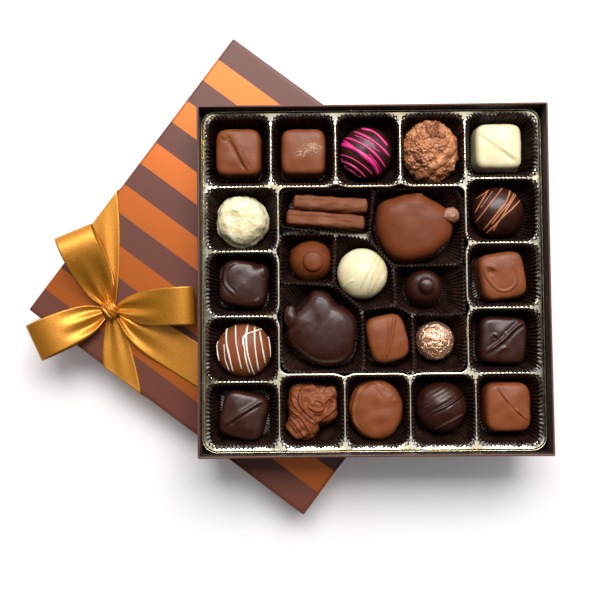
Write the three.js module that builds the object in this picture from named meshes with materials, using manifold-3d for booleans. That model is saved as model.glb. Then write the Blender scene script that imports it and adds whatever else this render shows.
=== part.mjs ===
// An open square box of assorted chocolate pralines, standing on its own lift-off lid.
//
// The lid lies top side up on the table and is tied across one corner with a wide satin ribbon and a bow.
// The shallow cardboard box stands on the lid, turned against it. A gold thermoformed insert fills the box:
// sixteen cells run round it like a pinwheel, and one large compartment is left in the middle.
// Each praline sits in its own fluted paper cup; two chocolate sticks share one long cup.
//
// Millimetres, +Z up. Everything is laid out from the centre of the open box, with z = 0 on the table.
// The finished group is then moved so that its origin is the centre of its footprint on the table.

import * as THREE from "three";
import { mergeVertices } from "three/addons/utils/BufferGeometryUtils.js";
import Module from "manifold-3d";

const wasm = await Module();
wasm.setup();

// Driving dimensions
const BOARD = 1.5; // cardboard of box and lid
const LID = { side: 216, height: 26, bow: 5.5, x: -64.7, y: 5.7, turn: -37.03 };
const RIBBON = { width: 24, bandWidth: 20.5, thickness: 0.4, underBox: 22 };
const BOX = { side: 212, height: 27.5, bottom: LID.height + 0.5 };
const RIM_Z = BOX.bottom + BOX.height;
const FIT = 0.3; // gap between pieces that touch

const INSERT = {
  x: -0.3, y: 0.1, half: 104.0, cornerRadius: 9, floor: 0.8, top: 20.3,
  lip: 0.9, groove: 1.2, grooveDepth: 1.6,
};
const CELL = { outer: 100.8, pitch: 39.5, inner: 57.2, ridge: 1.4, draft: 1.0, radius: 7.5 };
const SCALLOP = { depth: 1.9, spread: 3.4 }; // the middle wall swells into the cell corners
const CUP = { paper: 0.3, flute: 0.6, clearance: 0.25, flare: 1.1, middleFlare: 0.7, rise: 0.6 };

const INSERT_FLOOR_Z = BOX.bottom + BOARD + 0.1;
const CELL_FLOOR_Z = INSERT_FLOOR_Z + INSERT.floor;
const RIDGE_Z = BOX.bottom + INSERT.top;
const CUP_Z = CELL_FLOOR_Z + 0.1;
const SEAT_Z = CUP_Z + CUP.paper + 0.1;
const CUP_RIM_Z = RIDGE_Z + CUP.rise;

const COLOURS = {
  board: { color: 0x3b2420, roughness: 0.55, metalness: 0.1 },
  lid: { color: 0x6a463f, roughness: 0.45, metalness: 0.3 },
  gold: { color: 0xd9b25a, roughness: 0.22, metalness: 0.9 },
  paper: { color: 0x1d120f, roughness: 0.6, metalness: 0.0 },
  milk: { color: 0x8a4b2d, roughness: 0.42, metalness: 0.0 },
  dark: { color: 0x3a2320, roughness: 0.38, metalness: 0.0 },
  white: { color: 0xf4ecc6, roughness: 0.4, metalness: 0.0 },
  foil: { color: 0xc98a63, roughness: 0.25, metalness: 0.9 },
  satin: { color: 0xc58a24, roughness: 0.4, metalness: 0.25 },
};

const group = new THREE.Group();

function add(name, geometry, look, place = {}) {
  const mesh = new THREE.Mesh(geometry, new THREE.MeshStandardMaterial(COLOURS[look]));
  mesh.name = name;
  mesh.position.set(place.x ?? 0, place.y ?? 0, place.z ?? 0);
  mesh.rotation.z = THREE.MathUtils.degToRad(place.turn ?? 0);
  group.add(mesh);
  return mesh;
}

// Closed body through a stack of rings. All rings have the same number of points and turn
// anticlockwise about the direction of the stack; both ends are closed by a fan.
function stack(rings) {
  const count = rings[0].length;
  const positions = rings.flat().flatMap((p) => [p.x, p.y, p.z]);
  const middle = (ring) =>
    ring.reduce((sum, p) => sum.add(p), new THREE.Vector3()).divideScalar(ring.length);
  const first = rings.length * count;
  const last = first + 1;
  for (const p of [middle(rings[0]), middle(rings.at(-1))]) positions.push(p.x, p.y, p.z);
  const index = [];
  for (let i = 0; i + 1 < rings.length; i++) {
    for (let j = 0; j < count; j++) {
      const next = (j + 1) % count;
      const [a, b] = [i * count + j, i * count + next];
      index.push(a, b, b + count, a, b + count, a + count);
    }
  }
  const top = (rings.length - 1) * count;
  for (let j = 0; j < count; j++) {
    const next = (j + 1) % count;
    index.push(first, next, j, last, top + j, top + next);
  }
  const geometry = new THREE.BufferGeometry();
  geometry.setAttribute("position", new THREE.Float32BufferAttribute(positions, 3));
  geometry.setIndex(index);
  return geometry;
}

function solid(geometry) {
  const bare = new THREE.BufferGeometry();
  bare.setAttribute("position", geometry.getAttribute("position").clone());
  bare.setIndex(geometry.index);
  const merged = mergeVertices(bare, 1e-4);
  return new wasm.Manifold(
    new wasm.Mesh({
      numProp: 3,
      vertProperties: merged.attributes.position.array,
      triVerts: new Uint32Array(merged.index.array),
    }),
  );
}

function geometryOf(manifold) {
  const { vertProperties, triVerts } = manifold.getMesh();
  const geometry = new THREE.BufferGeometry();
  geometry.setAttribute("position", new THREE.Float32BufferAttribute(vertProperties, 3));
  geometry.setIndex(Array.from(triVerts));
  return geometry;
}

const polar = (radius, angle, z) =>
  new THREE.Vector3(radius * Math.cos(angle), radius * Math.sin(angle), z);

function squareRing(half, z) {
  return [0, 1, 2, 3].map((k) => polar(half * Math.SQRT2, Math.PI / 4 + (k * Math.PI) / 2, z));
}

function roundedRect(halfX, halfY, radius, z, perCorner = 4) {
  const points = [];
  for (const [sx, sy, start] of [[1, 1, 0], [-1, 1, 1], [-1, -1, 2], [1, -1, 3]]) {
    for (let i = 0; i < perCorner; i++) {
      const angle = ((start + i / (perCorner - 1)) * Math.PI) / 2;
      points.push(new THREE.Vector3(
        sx * (halfX - radius) + radius * Math.cos(angle),
        sy * (halfY - radius) + radius * Math.sin(angle),
        z,
      ));
    }
  }
  return points;
}

// Box and lid
function openTray(half, height, bottom) {
  const inner = half - BOARD;
  return stack([
    squareRing(half, bottom), squareRing(half, bottom + height),
    squareRing(inner, bottom + height), squareRing(inner, bottom + BOARD),
  ]);
}

// One wall of the lid, on its +X side, has sprung outward along its loose lower edge.
function lidRing(half, z) {
  const drop = 1 - z / LID.height;
  const wall = [-1, -0.8, -0.5, 0, 0.5, 0.8, 1].map((share) =>
    new THREE.Vector3(half + LID.bow * drop * Math.cos((share * Math.PI) / 2) ** 0.6, half * share, z));
  return [...wall, new THREE.Vector3(-half, half, z), new THREE.Vector3(-half, -half, z)];
}

function liftOffLid() {
  const half = LID.side / 2;
  return stack([
    lidRing(half - BOARD, LID.height - BOARD), lidRing(half - BOARD, 0),
    lidRing(half, 0), lidRing(half, LID.height),
  ]);
}

// Gold insert
function ringCells() {
  const along = (k) => -CELL.outer + CELL.pitch * (k + 0.5);
  const across = (CELL.outer + CELL.inner) / 2;
  const cells = [];
  for (let side = 0; side < 4; side++) {
    for (let k = 0; k < 4; k++) {
      const spot = new THREE.Vector2(along(k), across);
      spot.rotateAround(new THREE.Vector2(), (-side * Math.PI) / 2);
      cells.push({ x: spot.x, y: spot.y, side });
    }
  }
  return cells;
}

const CELL_HALF = {
  short: (CELL.pitch - CELL.ridge) / 2,
  long: (CELL.outer - CELL.inner - CELL.ridge) / 2,
};

function cellHalves(side) {
  return side % 2 === 0 ? [CELL_HALF.short, CELL_HALF.long] : [CELL_HALF.long, CELL_HALF.short];
}

function cellPocket({ x, y, side }) {
  const [hx, hy] = cellHalves(side);
  const at = (draft, z) => roundedRect(hx - draft, hy - draft, CELL.radius - draft, z);
  const above = RIDGE_Z + 1;
  const pocket = solid(stack([at(CELL.draft, CELL_FLOOR_Z), at(0, RIDGE_Z), at(0, above)]));
  return pocket.translate([x, y, 0]);
}

// Outline of the middle compartment: straight walls that swell where two cells meet behind them.
function middleRing(shrink, z) {
  const half = CELL.inner - CELL.ridge / 2 - shrink;
  const radius = CELL.radius;
  const joints = [1, 2].map((k) => -CELL.outer + (k + 1) * CELL.pitch);
  const stations = [];
  for (const joint of joints) stations.push(joint - 5, joint - 2.4, joint, joint + 2.4, joint + 5);
  const points = [];
  for (let side = 0; side < 4; side++) {
    const turned = (px, py) =>
      new THREE.Vector2(px, py).rotateAround(new THREE.Vector2(), (side * Math.PI) / 2);
    // Runs down the right-hand side: this side's joints are the top row's, turned a quarter clockwise.
    for (const station of stations) {
      const near = joints.map((joint) => Math.abs(station - joint)).sort((a, b) => a - b)[0];
      const swell = SCALLOP.depth * Math.exp(-((near / SCALLOP.spread) ** 2));
      const spot = turned(half + swell, -station);
      points.push({ angle: Math.atan2(spot.y, spot.x), spot });
    }
    for (let i = 0; i < 4; i++) {
      const angle = ((i / 3) * Math.PI) / 2;
      const spot = turned(
        half - radius + radius * Math.cos(angle),
        half - radius + radius * Math.sin(angle),
      );
      points.push({ angle: Math.atan2(spot.y, spot.x), spot });
    }
  }
  points.sort((a, b) => a.angle - b.angle);
  return points.map(({ spot }) => new THREE.Vector3(spot.x, spot.y, z));
}

function goldInsert() {
  const above = RIDGE_Z + 1;
  const body = (inset, bottom, top) =>
    solid(stack([bottom, top].map((z) =>
      roundedRect(INSERT.half - inset, INSERT.half - inset, INSERT.cornerRadius - inset, z, 6))));
  const grooveZ = RIDGE_Z - INSERT.grooveDepth;
  const groove = body(INSERT.lip, grooveZ, above).subtract(
    body(INSERT.lip + INSERT.groove, grooveZ - 1, above + 1),
  );
  let insert = body(0, INSERT_FLOOR_Z, RIDGE_Z).subtract(groove);
  for (const cell of ringCells()) insert = insert.subtract(cellPocket(cell));
  const middle = [[CELL.draft, CELL_FLOOR_Z], [0, RIDGE_Z], [0, above]];
  insert = insert.subtract(solid(stack(middle.map(([shrink, z]) => middleRing(shrink, z)))));
  return geometryOf(insert);
}

// Paper cups
// Angles at which evenly spaced points of an outline lie; the outline gives a radius for an angle.
function evenAngles(outline, count) {
  const fine = 720;
  const angles = Array.from({ length: fine + 1 }, (_, i) => (i / fine) * Math.PI * 2);
  const reached = [0];
  for (let i = 1; i <= fine; i++) {
    const step = polar(outline(angles[i]), angles[i], 0)
      .distanceTo(polar(outline(angles[i - 1]), angles[i - 1], 0));
    reached.push(reached[i - 1] + step);
  }
  return Array.from({ length: count }, (_, i) => {
    const target = (reached[fine] * i) / count;
    return angles[reached.findIndex((length) => length >= target)];
  });
}

// The outline is a function of angle; the wall zigzags between it and a fold one flute deeper.
function paperCup(outline, floorOutline, rimZ, folds) {
  const angles = evenAngles(outline, folds * 2);
  const ring = (shape, inset, z) =>
    angles.map((angle, i) => polar(shape(angle) - inset - (i % 2) * CUP.flute, angle, z));
  return stack([
    ring(floorOutline, 0, CUP_Z), ring(outline, 0, rimZ),
    ring(outline, CUP.paper, rimZ), ring(floorOutline, CUP.paper, CUP_Z + CUP.paper),
  ]);
}

// Radius of a rounded rectangle (a superellipse) in the direction of an angle.
const superellipse = (halfX, halfY, power) => (angle) =>
  (Math.abs(Math.cos(angle) / halfX) ** power + Math.abs(Math.sin(angle) / halfY) ** power) **
  (-1 / power);

// Radius of a convex cell with softened corners, seen from a point (x, y) inside it.
function cellAround(corners, x, y, inset) {
  const walls = corners.map(([ax, ay], i) => {
    const [bx, by] = corners[(i + 1) % corners.length];
    const length = Math.hypot(bx - ax, by - ay);
    const normal = [(by - ay) / length, (ax - bx) / length];
    return { normal, away: (ax - x) * normal[0] + (ay - y) * normal[1] - inset };
  });
  const power = 10;
  return (angle) => walls.reduce((sum, { normal, away }) => {
    const facing = Math.cos(angle) * normal[0] + Math.sin(angle) * normal[1];
    return sum + Math.max(0, facing / away) ** power;
  }, 0) ** (-1 / power);
}

// Radius of a round piece that is uneven: lobes are [waves, depth, phase in degrees].
const lobed = (radius, stretch, lobes) => (angle) =>
  lobes.reduce(
    (r, [waves, depth, phase]) => r + depth * Math.cos(waves * (angle - (phase * Math.PI) / 180)),
    radius * (1 + stretch * Math.cos(2 * angle)),
  );

// Radius over angle through evenly spaced radii in mm, from +X anticlockwise.
const freehand = (radii) => (angle) => {
  const at = ((angle / (2 * Math.PI)) * radii.length + radii.length) % radii.length;
  const [i, u] = [Math.floor(at), at % 1];
  const [a, b, c, d] = [-1, 0, 1, 2].map((k) => radii[(i + k + radii.length) % radii.length]);
  return b + 0.5 * u * (c - a + u * (2 * a - 5 * b + 4 * c - d + u * (3 * (b - c) + d - a)));
};
const MILK_PATTY = [24.6, 24.4, 22.8, 21.5, 22.3, 22.2, 23.2, 26.2, 25.4,
  24.5, 24.0, 24.4, 23.8, 22.4, 20.8, 20.8, 22.3, 24.0];
const DARK_PATTY = [22.8, 22.0, 20.0, 18.4, 22.8, 24.8, 20.2, 19.3, 21.2,
  22.2, 23.2, 22.4, 22.6, 23.6, 24.9, 26.6, 25.9, 23.8];
const SWIRLED = [14.8, 15.3, 16.8, 20.4, 17.4, 16.2, 16.6, 17.6, 18.8, 19.0, 16.6, 15.0,
  14.5, 14.6, 18.4, 19.2, 18.8, 17.4, 16.0, 11.8, 8.6, 10.0, 12.0, 14.2];

// Pralines
// A moulded or dipped body: the outline, scaled ring by ring along a profile of [height, share].
function dipped(outline, profile, sides, lean = [0, 0], bump = () => 0) {
  const tall = profile.at(-1)[0];
  return stack(profile.map(([z, share], level) =>
    Array.from({ length: sides }, (_, i) => {
      const angle = (i / sides) * Math.PI * 2;
      const relief = bump(angle, level, z);
      const point = polar(outline(angle) * share + relief, angle, z + (level > 0 ? relief / 2 : 0));
      point.x += (lean[0] * z) / tall;
      point.y += (lean[1] * z) / tall;
      return point;
    })));
}

const squareProfile = (h) =>
  [[0, 0.94], [h * 0.12, 1], [h * 0.7, 0.97], [h * 0.93, 0.87], [h, 0.6]];
const domeProfile = (h, levels = 6) =>
  Array.from({ length: levels }, (_, i) => {
    const climb = (-0.16 + (1.16 * i) / (levels - 0.45)) * Math.PI * 0.5;
    return [(h * (Math.sin(climb) - Math.sin(-0.08 * Math.PI))) / (1 + Math.sin(0.08 * Math.PI)),
      Math.cos(climb)];
  });

// Repeatable noise for rough coatings, about -1 to 1.
function seeded(seed) {
  let state = seed;
  return () => {
    state = (state * 1664525 + 1013904223) % 4294967296;
    return (state / 4294967296) * 2 - 1;
  };
}

function roughBump(seed, depth) {
  const draw = seeded(seed);
  return (angle, level) => (level === 0 ? 0 : draw() * depth);
}

// A raised string of chocolate along a path of [x, y, z], half sunk in the body below it.
function string(path, width, height) {
  const curve = new THREE.CatmullRomCurve3(path.map((p) => new THREE.Vector3(...p)));
  const steps = Math.round(path.length * 1.5);
  const up = new THREE.Vector3(0, 0, 1);
  const rings = [];
  for (let i = 0; i <= steps; i++) {
    const u = i / steps;
    const taper = 0.35 + 0.65 * Math.sin(Math.PI * Math.min(1, 0.12 + u * 0.86));
    const centre = curve.getPoint(u);
    const side = new THREE.Vector3().crossVectors(up, curve.getTangent(u)).normalize();
    const at = (across, rise) =>
      centre.clone().addScaledVector(side, across * width * taper)
        .addScaledVector(up, rise * height * taper);
    rings.push([at(-0.5, -0.8), at(-0.35, 0.35), at(0, 0.8), at(0.35, 0.35), at(0.5, -0.8)].reverse());
  }
  return stack(rings);
}

// The end of a nut that stands out of a cluster.
function nub(x, y, z, reach, width, height) {
  const ball = new THREE.IcosahedronGeometry(1, 1);
  ball.deleteAttribute("normal");
  ball.deleteAttribute("uv");
  return mergeVertices(ball.scale(reach, width, height).translate(x, y, z), 1e-4);
}

function withStrings(body, strings) {
  return geometryOf(strings.reduce((whole, part) => whole.add(solid(part)), solid(body)));
}

// A round truffle whose drizzle runs in parallel lines: slices across the lines, each line a ridge.
// lines are [place across in mm, width in mm].
function drizzled(radius, height, lines, ridge) {
  const cuts = new Map([[-0.97, 0], [-0.8, 0], [0.8, 0], [0.97, 0]].map(([u, r]) => [u * radius, r]));
  for (const [place, width] of lines) {
    cuts.set(place - width / 2, 0);
    cuts.set(place, ridge);
    cuts.set(place + width / 2, 0);
  }
  const slices = [...cuts.entries()].sort((a, b) => a[0] - b[0]);
  const across = 8;
  const belly = 0.4; // share of the height at which the truffle is widest
  return stack(slices.map(([u, rise]) => {
    const reach = Math.sqrt(1 - (u / radius) ** 2);
    const points = [];
    for (let i = 0; i < across; i++) {
      const angle = (-0.16 + (1.32 * i) / (across - 1)) * Math.PI;
      const lift = Math.sin(angle) > 0 ? height * (1 - belly) : height * belly * 1.6;
      const r = radius * reach + rise;
      const z = height * belly + (lift * reach + rise) * Math.sin(angle);
      points.push(new THREE.Vector3(u, r * Math.cos(angle), Math.max(0, z)));
    }
    return points;
  }));
}

// A stick of wafer in chocolate: a bar with rounded long edges.
function stick(length, width, height) {
  const section = (x, share) => [
    [-0.5, 0], [0.5, 0], [0.5, 0.72], [0.36, 0.97], [-0.36, 0.97], [-0.5, 0.72],
  ].map(([y, z]) =>
    new THREE.Vector3(x, y * width * share, height * (0.5 + (z - 0.5) * share)));
  const half = length / 2;
  const rings = [[-1, 0.86], [-0.95, 1], [-0.3, 0.97], [0.35, 1], [0.95, 0.98], [1, 0.84]];
  return stack(rings.map(([u, share]) => {
    const ring = section(u * half, share);
    for (const p of ring) p.z -= height * (0.5 - 0.5 * share);
    return ring;
  }));
}

// What lies in the sixteen cells, clockwise from the far left corner.
// Offsets are from the cell's middle, and turn is in degrees.
const RING_PRALINES = [
  {
    name: "milk_square_fold", look: "milk", dx: -0.3, dy: 0.4, turn: 0, shape: () =>
      withStrings(dipped(superellipse(14.2, 15.0, 5), squareProfile(16.5), 20), [
        string([[-8.5, 11.5, 15.7], [-5, 6, 16.6], [0, -3, 16.6], [5.5, -11.5, 15.9]], 2.4, 0.9),
      ]),
  },
  {
    name: "milk_square_crumb", look: "milk", dx: 0.2, dy: 0.3, turn: 0, shape: () =>
      withStrings(dipped(superellipse(13.9, 14.7, 5), squareProfile(16.5), 20),
        crumbs(8, [4, 0.5], [6.5, 4.5], 16.4)),
  },
  {
    name: "dark_truffle_pink_lines", look: "dark", dx: -0.2, dy: 0.6, turn: 55, shape: () =>
      drizzled(16.2, 20, [[-10.5, 1.4], [-6.8, 1.6], [-2.8, 2.6], [1.6, 1.6], [5.6, 2.2], [10, 1.8]],
        0.55),
  },
  {
    name: "milk_truffle_nut_crust", look: "milk", dx: 0, dy: 0, turn: 0, shape: () =>
      dipped(superellipse(16.7, 18.7, 2),
        [[0, 0.88], [2.2, 0.955], [5, 0.965], [5.8, 0.93], [10.5, 0.97], [14.5, 0.84], [17.6, 0.6],
          [19.4, 0.25]], 20, [-0.4, 1.2], roughBump(11, 0.5)),
  },
  {
    name: "white_square", look: "white", dx: -0.4, dy: 0.7, turn: 0, shape: () =>
      withStrings(dipped(superellipse(14.6, 14.4, 5), squareProfile(17), 20), [
        string([[-9.5, 8, 16.4], [-2, 1, 17.1], [7, -6.5, 17], [10.5, -9.5, 16.2]], 2.6, 0.7),
      ]),
  },
  {
    name: "dark_truffle_milk_lines", look: "dark", dx: -0.6, dy: 0, turn: -32, shape: () =>
      drizzled(16, 19.8, [[-9, 0.9], [-5.6, 0.9], [-1, 0.9], [1.6, 0.9], [4.2, 0.9], [7, 0.9]], 0.45),
  },
  {
    name: "milk_square_curl", look: "milk", dx: 0.5, dy: -0.3, turn: 5, shape: () =>
      withStrings(dipped(superellipse(14.2, 14.8, 4.4), squareProfile(17.5), 20), [
        string([[-6.5, 7.5, 17.2], [-5.5, 0, 17.6], [-1, -5.2, 17.7], [4.6, -4.4, 17.6],
          [7, 1, 17.4], [6.6, 6.5, 17.1]], 1.8, 0.8),
      ]),
  },
  {
    name: "dark_square_cord", look: "dark", dx: 0.2, dy: 0, turn: 2, shape: () =>
      withStrings(dipped(superellipse(14.7, 14.6, 5), squareProfile(16), 20), [
        string([[-10.5, -8.5, 15.5], [-4, -2.5, 16.2], [3, 3.6, 16.2], [10.5, 10.5, 15.3]], 2.6, 0.9),
      ]),
  },
  {
    name: "milk_square_line", look: "milk", dx: 0.3, dy: 1.0, turn: 0, shape: () =>
      withStrings(dipped(superellipse(14.0, 15.2, 4.6), squareProfile(17), 20), [
        string([[-7.5, 12, 16.2], [-2, 4.5, 17], [5, -5, 17], [10.5, -10.5, 16.2]], 1.5, 0.8),
      ]),
  },
  {
    name: "dark_truffle_dark_lines", look: "dark", dx: 0.1, dy: 1.0, turn: -62, shape: () =>
      drizzled(15.8, 19.6, [[-11, 1.2], [-5, 1.4], [-1.6, 1.4], [2.4, 1.6], [6.4, 1.6]], 0.5),
  },
  {
    name: "milk_round", look: "milk", dx: -0.3, dy: -0.2, turn: 0, shape: () =>
      dipped(lobed(18.0, -0.055, [[3, 0.2, 40]]),
        [[0, 0.86], [2.4, 0.97], [6.5, 0.97], [11, 0.92], [14.6, 0.8], [16.2, 0.55]], 22),
  },
  {
    name: "milk_cluster_swirled", look: "milk", dx: 0.3, dy: -1.4, turn: 0, shape: () =>
      dipped(freehand(SWIRLED),
        [[0, 0.9], [3, 1.0], [8, 0.98], [12.5, 0.9], [15.5, 0.72], [17.8, 0.4]],
        24, [-0.6, 0.6], roughBump(29, 0.35)),
  },
  {
    name: "dark_square_pleat", look: "dark", dx: -0.2, dy: -0.8, turn: -8, shape: () =>
      withStrings(dipped(superellipse(14.2, 14.6, 4.2), squareProfile(16.5), 20), [
        string([[-9, -8, 15.9], [-2, -0.5, 16.8], [4.5, 5, 16.7], [10, 9.5, 15.8]], 3, 1.0),
      ]),
  },
  {
    name: "milk_truffle_white_lines", look: "milk", dx: 0.2, dy: -0.6, turn: 6, shape: () =>
      drizzled(16.6, 20, [[-13.6, 1], [-10, 1], [-5.2, 1], [0.2, 1.1], [4.6, 1], [9, 1], [13.2, 1]],
        0.45),
  },
  {
    name: "dark_square_curl", look: "dark", dx: 0.5, dy: 0.3, turn: -6, shape: () =>
      withStrings(dipped(superellipse(15.0, 14.4, 4), squareProfile(17), 20), [
        string([[-8.8, 6.5, 16.4], [-10, 0, 16.3], [-8, -6, 16.4], [-2.8, -9.8, 16.2]], 1.7, 0.8),
      ]),
  },
  {
    name: "white_truffle_rough", look: "white", dx: -0.3, dy: -0.4, turn: 20, shape: () =>
      dipped(lobed(16.3, 0.0, [[3, 0.35, 10], [5, 0.3, 60]]),
        [[0, 0.9], [3, 1], [7.5, 0.98], [9.2, 0.93], [13.5, 0.84], [16.8, 0.66], [18.6, 0.4]], 20,
        [-0.6, 0.8], roughBump(5, 0.45)),
  },
];

// Crumbs sunk in the top of a square, within a small patch.
function crumbs(count, centre, spread, z) {
  const draw = seeded(77);
  return Array.from({ length: count }, () => {
    const size = 0.45 + 0.25 * Math.abs(draw());
    const crumb = new THREE.OctahedronGeometry(size);
    crumb.translate(centre[0] + draw() * spread[0], centre[1] + draw() * spread[1], z);
    crumb.deleteAttribute("normal");
    crumb.deleteAttribute("uv");
    return mergeVertices(crumb, 1e-4);
  });
}

// A domed bonbon with a round button piped on its crown, a little off centre.
function buttonBonbon(radius, height, button, lean) {
  const crown = button / radius;
  return dipped(() => radius,
    [[0, 0.9], [height * 0.18, 1], [height * 0.5, 0.93], [height * 0.72, 0.74],
      [height * 0.83, crown * 1.16], [height * 0.86, crown * 1.02], [height * 0.93, crown],
      [height, crown * 0.55]], 18, lean);
}

const PATTY_PROFILE = [[0, 0.88], [2.6, 0.95], [7, 0.97], [12, 0.92], [15.4, 0.78], [17.4, 0.45]];

// Where the middle cups meet each other and the compartment's walls, from the middle of the insert.
const WALL = 56.1;
const CORNER_CUT = 4.8;
const MEET = {
  leftUpper: [-WALL, 28.6], leftLower: [-WALL, -1.5], rightUpper: [WALL, 9.0], rightLower: [WALL, -21.6],
  topWall: [1.5, WALL], bottomLeft: [-5.4, -WALL], bottomRight: [24.5, -WALL],
  stickBonbon: [-22.3, 28.2], stickTruffle: [-1.7, 25.3], truffleCluster: [13.0, 8.3],
  bonbonCluster: [-23.8, -2.6], truffleDark: [-6.2, -18.2], truffleDiamond: [14.0, -15.5],
  diamondFoil: [24.0, -21.0],
};

// The two corners that stand for a rounded corner of the compartment.
const cutCorner = (sx, sy) => {
  const ends = [[sx * WALL, sy * (WALL - CORNER_CUT)], [sx * (WALL - CORNER_CUT), sy * WALL]];
  return sx * sy > 0 ? ends : ends.reverse();
};

// What lies in the middle compartment: place from the middle of the insert, its cup's corners in
// anticlockwise order, and how far that cup's rim lies below the others.
const MIDDLE_PRALINES = [
  {
    name: "milk_cluster_large", look: "milk", x: 26.8, y: 32.4, turn: 0, rimDrop: 2.2,
    cup: [MEET.truffleCluster, MEET.rightUpper, ...cutCorner(1, 1), MEET.topWall, MEET.stickTruffle],
    shape: () => withStrings(dipped(freehand(MILK_PATTY), PATTY_PROFILE, 26),
      [nub(22.4, 7.0, 15.2, 5.2, 4.6, 2.2)]),
  },
  {
    name: "milk_bonbon_button", look: "milk", x: -37.6, y: 13.4, turn: 0,
    cup: [MEET.bonbonCluster, MEET.stickBonbon, MEET.leftUpper, MEET.leftLower],
    shape: () => buttonBonbon(13.1, 18.5, 5.6, [1.6, -1.8]),
  },
  {
    name: "white_truffle_lines", look: "white", x: -5.6, y: 4.4, turn: -45,
    cup: [MEET.truffleDiamond, MEET.truffleCluster, MEET.stickTruffle, MEET.stickBonbon,
      MEET.bonbonCluster, MEET.truffleDark],
    shape: () => drizzled(15.3, 19.6, [[2.5, 1], [6, 1.2], [9.5, 1.2]], 0.45),
  },
  {
    name: "dark_bonbon_button", look: "dark", x: 32.4, y: -5.4, turn: 0,
    cup: [MEET.rightLower, MEET.rightUpper, MEET.truffleCluster, MEET.truffleDiamond, MEET.diamondFoil],
    shape: () => buttonBonbon(11.8, 18, 4.3, [0.3, 1.8]),
  },
  {
    name: "dark_cluster_large", look: "dark", x: -31.0, y: -28.9, turn: 0, rimDrop: 2.2,
    cup: [MEET.bottomLeft, MEET.truffleDark, MEET.bonbonCluster, MEET.leftLower, ...cutCorner(-1, -1)],
    shape: () => withStrings(dipped(freehand(DARK_PATTY), PATTY_PROFILE, 26),
      [nub(-19.4, 7.9, 15.2, 4.0, 6.2, 2.2)]),
  },
  {
    name: "milk_diamond_pleat", look: "milk", x: 9.0, y: -35.6, turn: 12,
    cup: [MEET.bottomRight, MEET.diamondFoil, MEET.truffleDiamond, MEET.truffleDark, MEET.bottomLeft],
    shape: () => withStrings(dipped(superellipse(12.3, 14.6, 3.6), squareProfile(16.5), 20), [
      string([[-4.5, -12.5, 15.6], [-1.5, -5, 16.8], [1.5, 4, 16.8], [3.5, 12, 15.6]], 2.8, 0.9),
    ]),
  },
  {
    name: "foil_wrapped_ball", look: "foil", x: 38.6, y: -37.4, turn: 0,
    cup: [MEET.rightLower, MEET.diamondFoil, MEET.bottomRight, ...cutCorner(1, -1)],
    shape: () => dipped(() => 12, domeProfile(17.5, 7), 18, [0, 0], roughBump(41, 0.35)),
  },
];
const STICKS = {
  x: -28.0, y: 42.0,
  cup: [MEET.stickTruffle, MEET.topWall, ...cutCorner(-1, 1), MEET.leftUpper, MEET.stickBonbon],
  far: { x: -24.9, y: 47.4, turn: -4, length: 46, width: 9.4, height: 13.5 },
  near: { x: -28.0, y: 37.6, turn: -5.2, length: 48.6, width: 9.6, height: 12.5 },
};
const MIDDLE_RIM_Z = CUP_RIM_Z - 3.0;

// Ribbon
const lidTurn = THREE.MathUtils.degToRad(LID.turn);
const ALONG_NEAR = new THREE.Vector3(Math.cos(lidTurn), Math.sin(lidTurn), 0);
const ALONG_FAR = new THREE.Vector3(-Math.sin(lidTurn), Math.cos(lidTurn), 0);
const UP = new THREE.Vector3(0, 0, 1);

// The lid's left corner at a height, and a point that far along one of the two edges that meet there.
function lidCorner(z) {
  const half = LID.side / 2;
  return new THREE.Vector3(LID.x, LID.y, z)
    .addScaledVector(ALONG_NEAR, -half)
    .addScaledVector(ALONG_FAR, -half);
}

const KNOT = { x: -163.4, y: -16.2, radius: 4.7, height: 7.6 };
const KNOT_BASE_Z = LID.height + RIBBON.thickness + 2 * FIT;

// A strip of ribbon through stations {at, side, width}; side points across the ribbon.
function ribbonStrip(stations, thickness = RIBBON.thickness) {
  return stack(stations.map(({ at, side, width }, i) => {
    const before = stations[Math.max(0, i - 1)].at;
    const after = stations[Math.min(stations.length - 1, i + 1)].at;
    const along = after.clone().sub(before).normalize();
    const out = new THREE.Vector3().crossVectors(along, side).normalize();
    return [[1, -1], [1, 1], [-1, 1], [-1, -1]].map(([a, b]) =>
      at.clone().addScaledVector(side, (a * width) / 2).addScaledVector(out, (b * thickness) / 2));
  }));
}

// Where the band's middle crosses the two edges, from the lid's corner, and how far it slants down the wall.
const BAND = { far: { reach: 77.5, slide: 30 }, near: { reach: 74, slide: 26 } };

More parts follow.
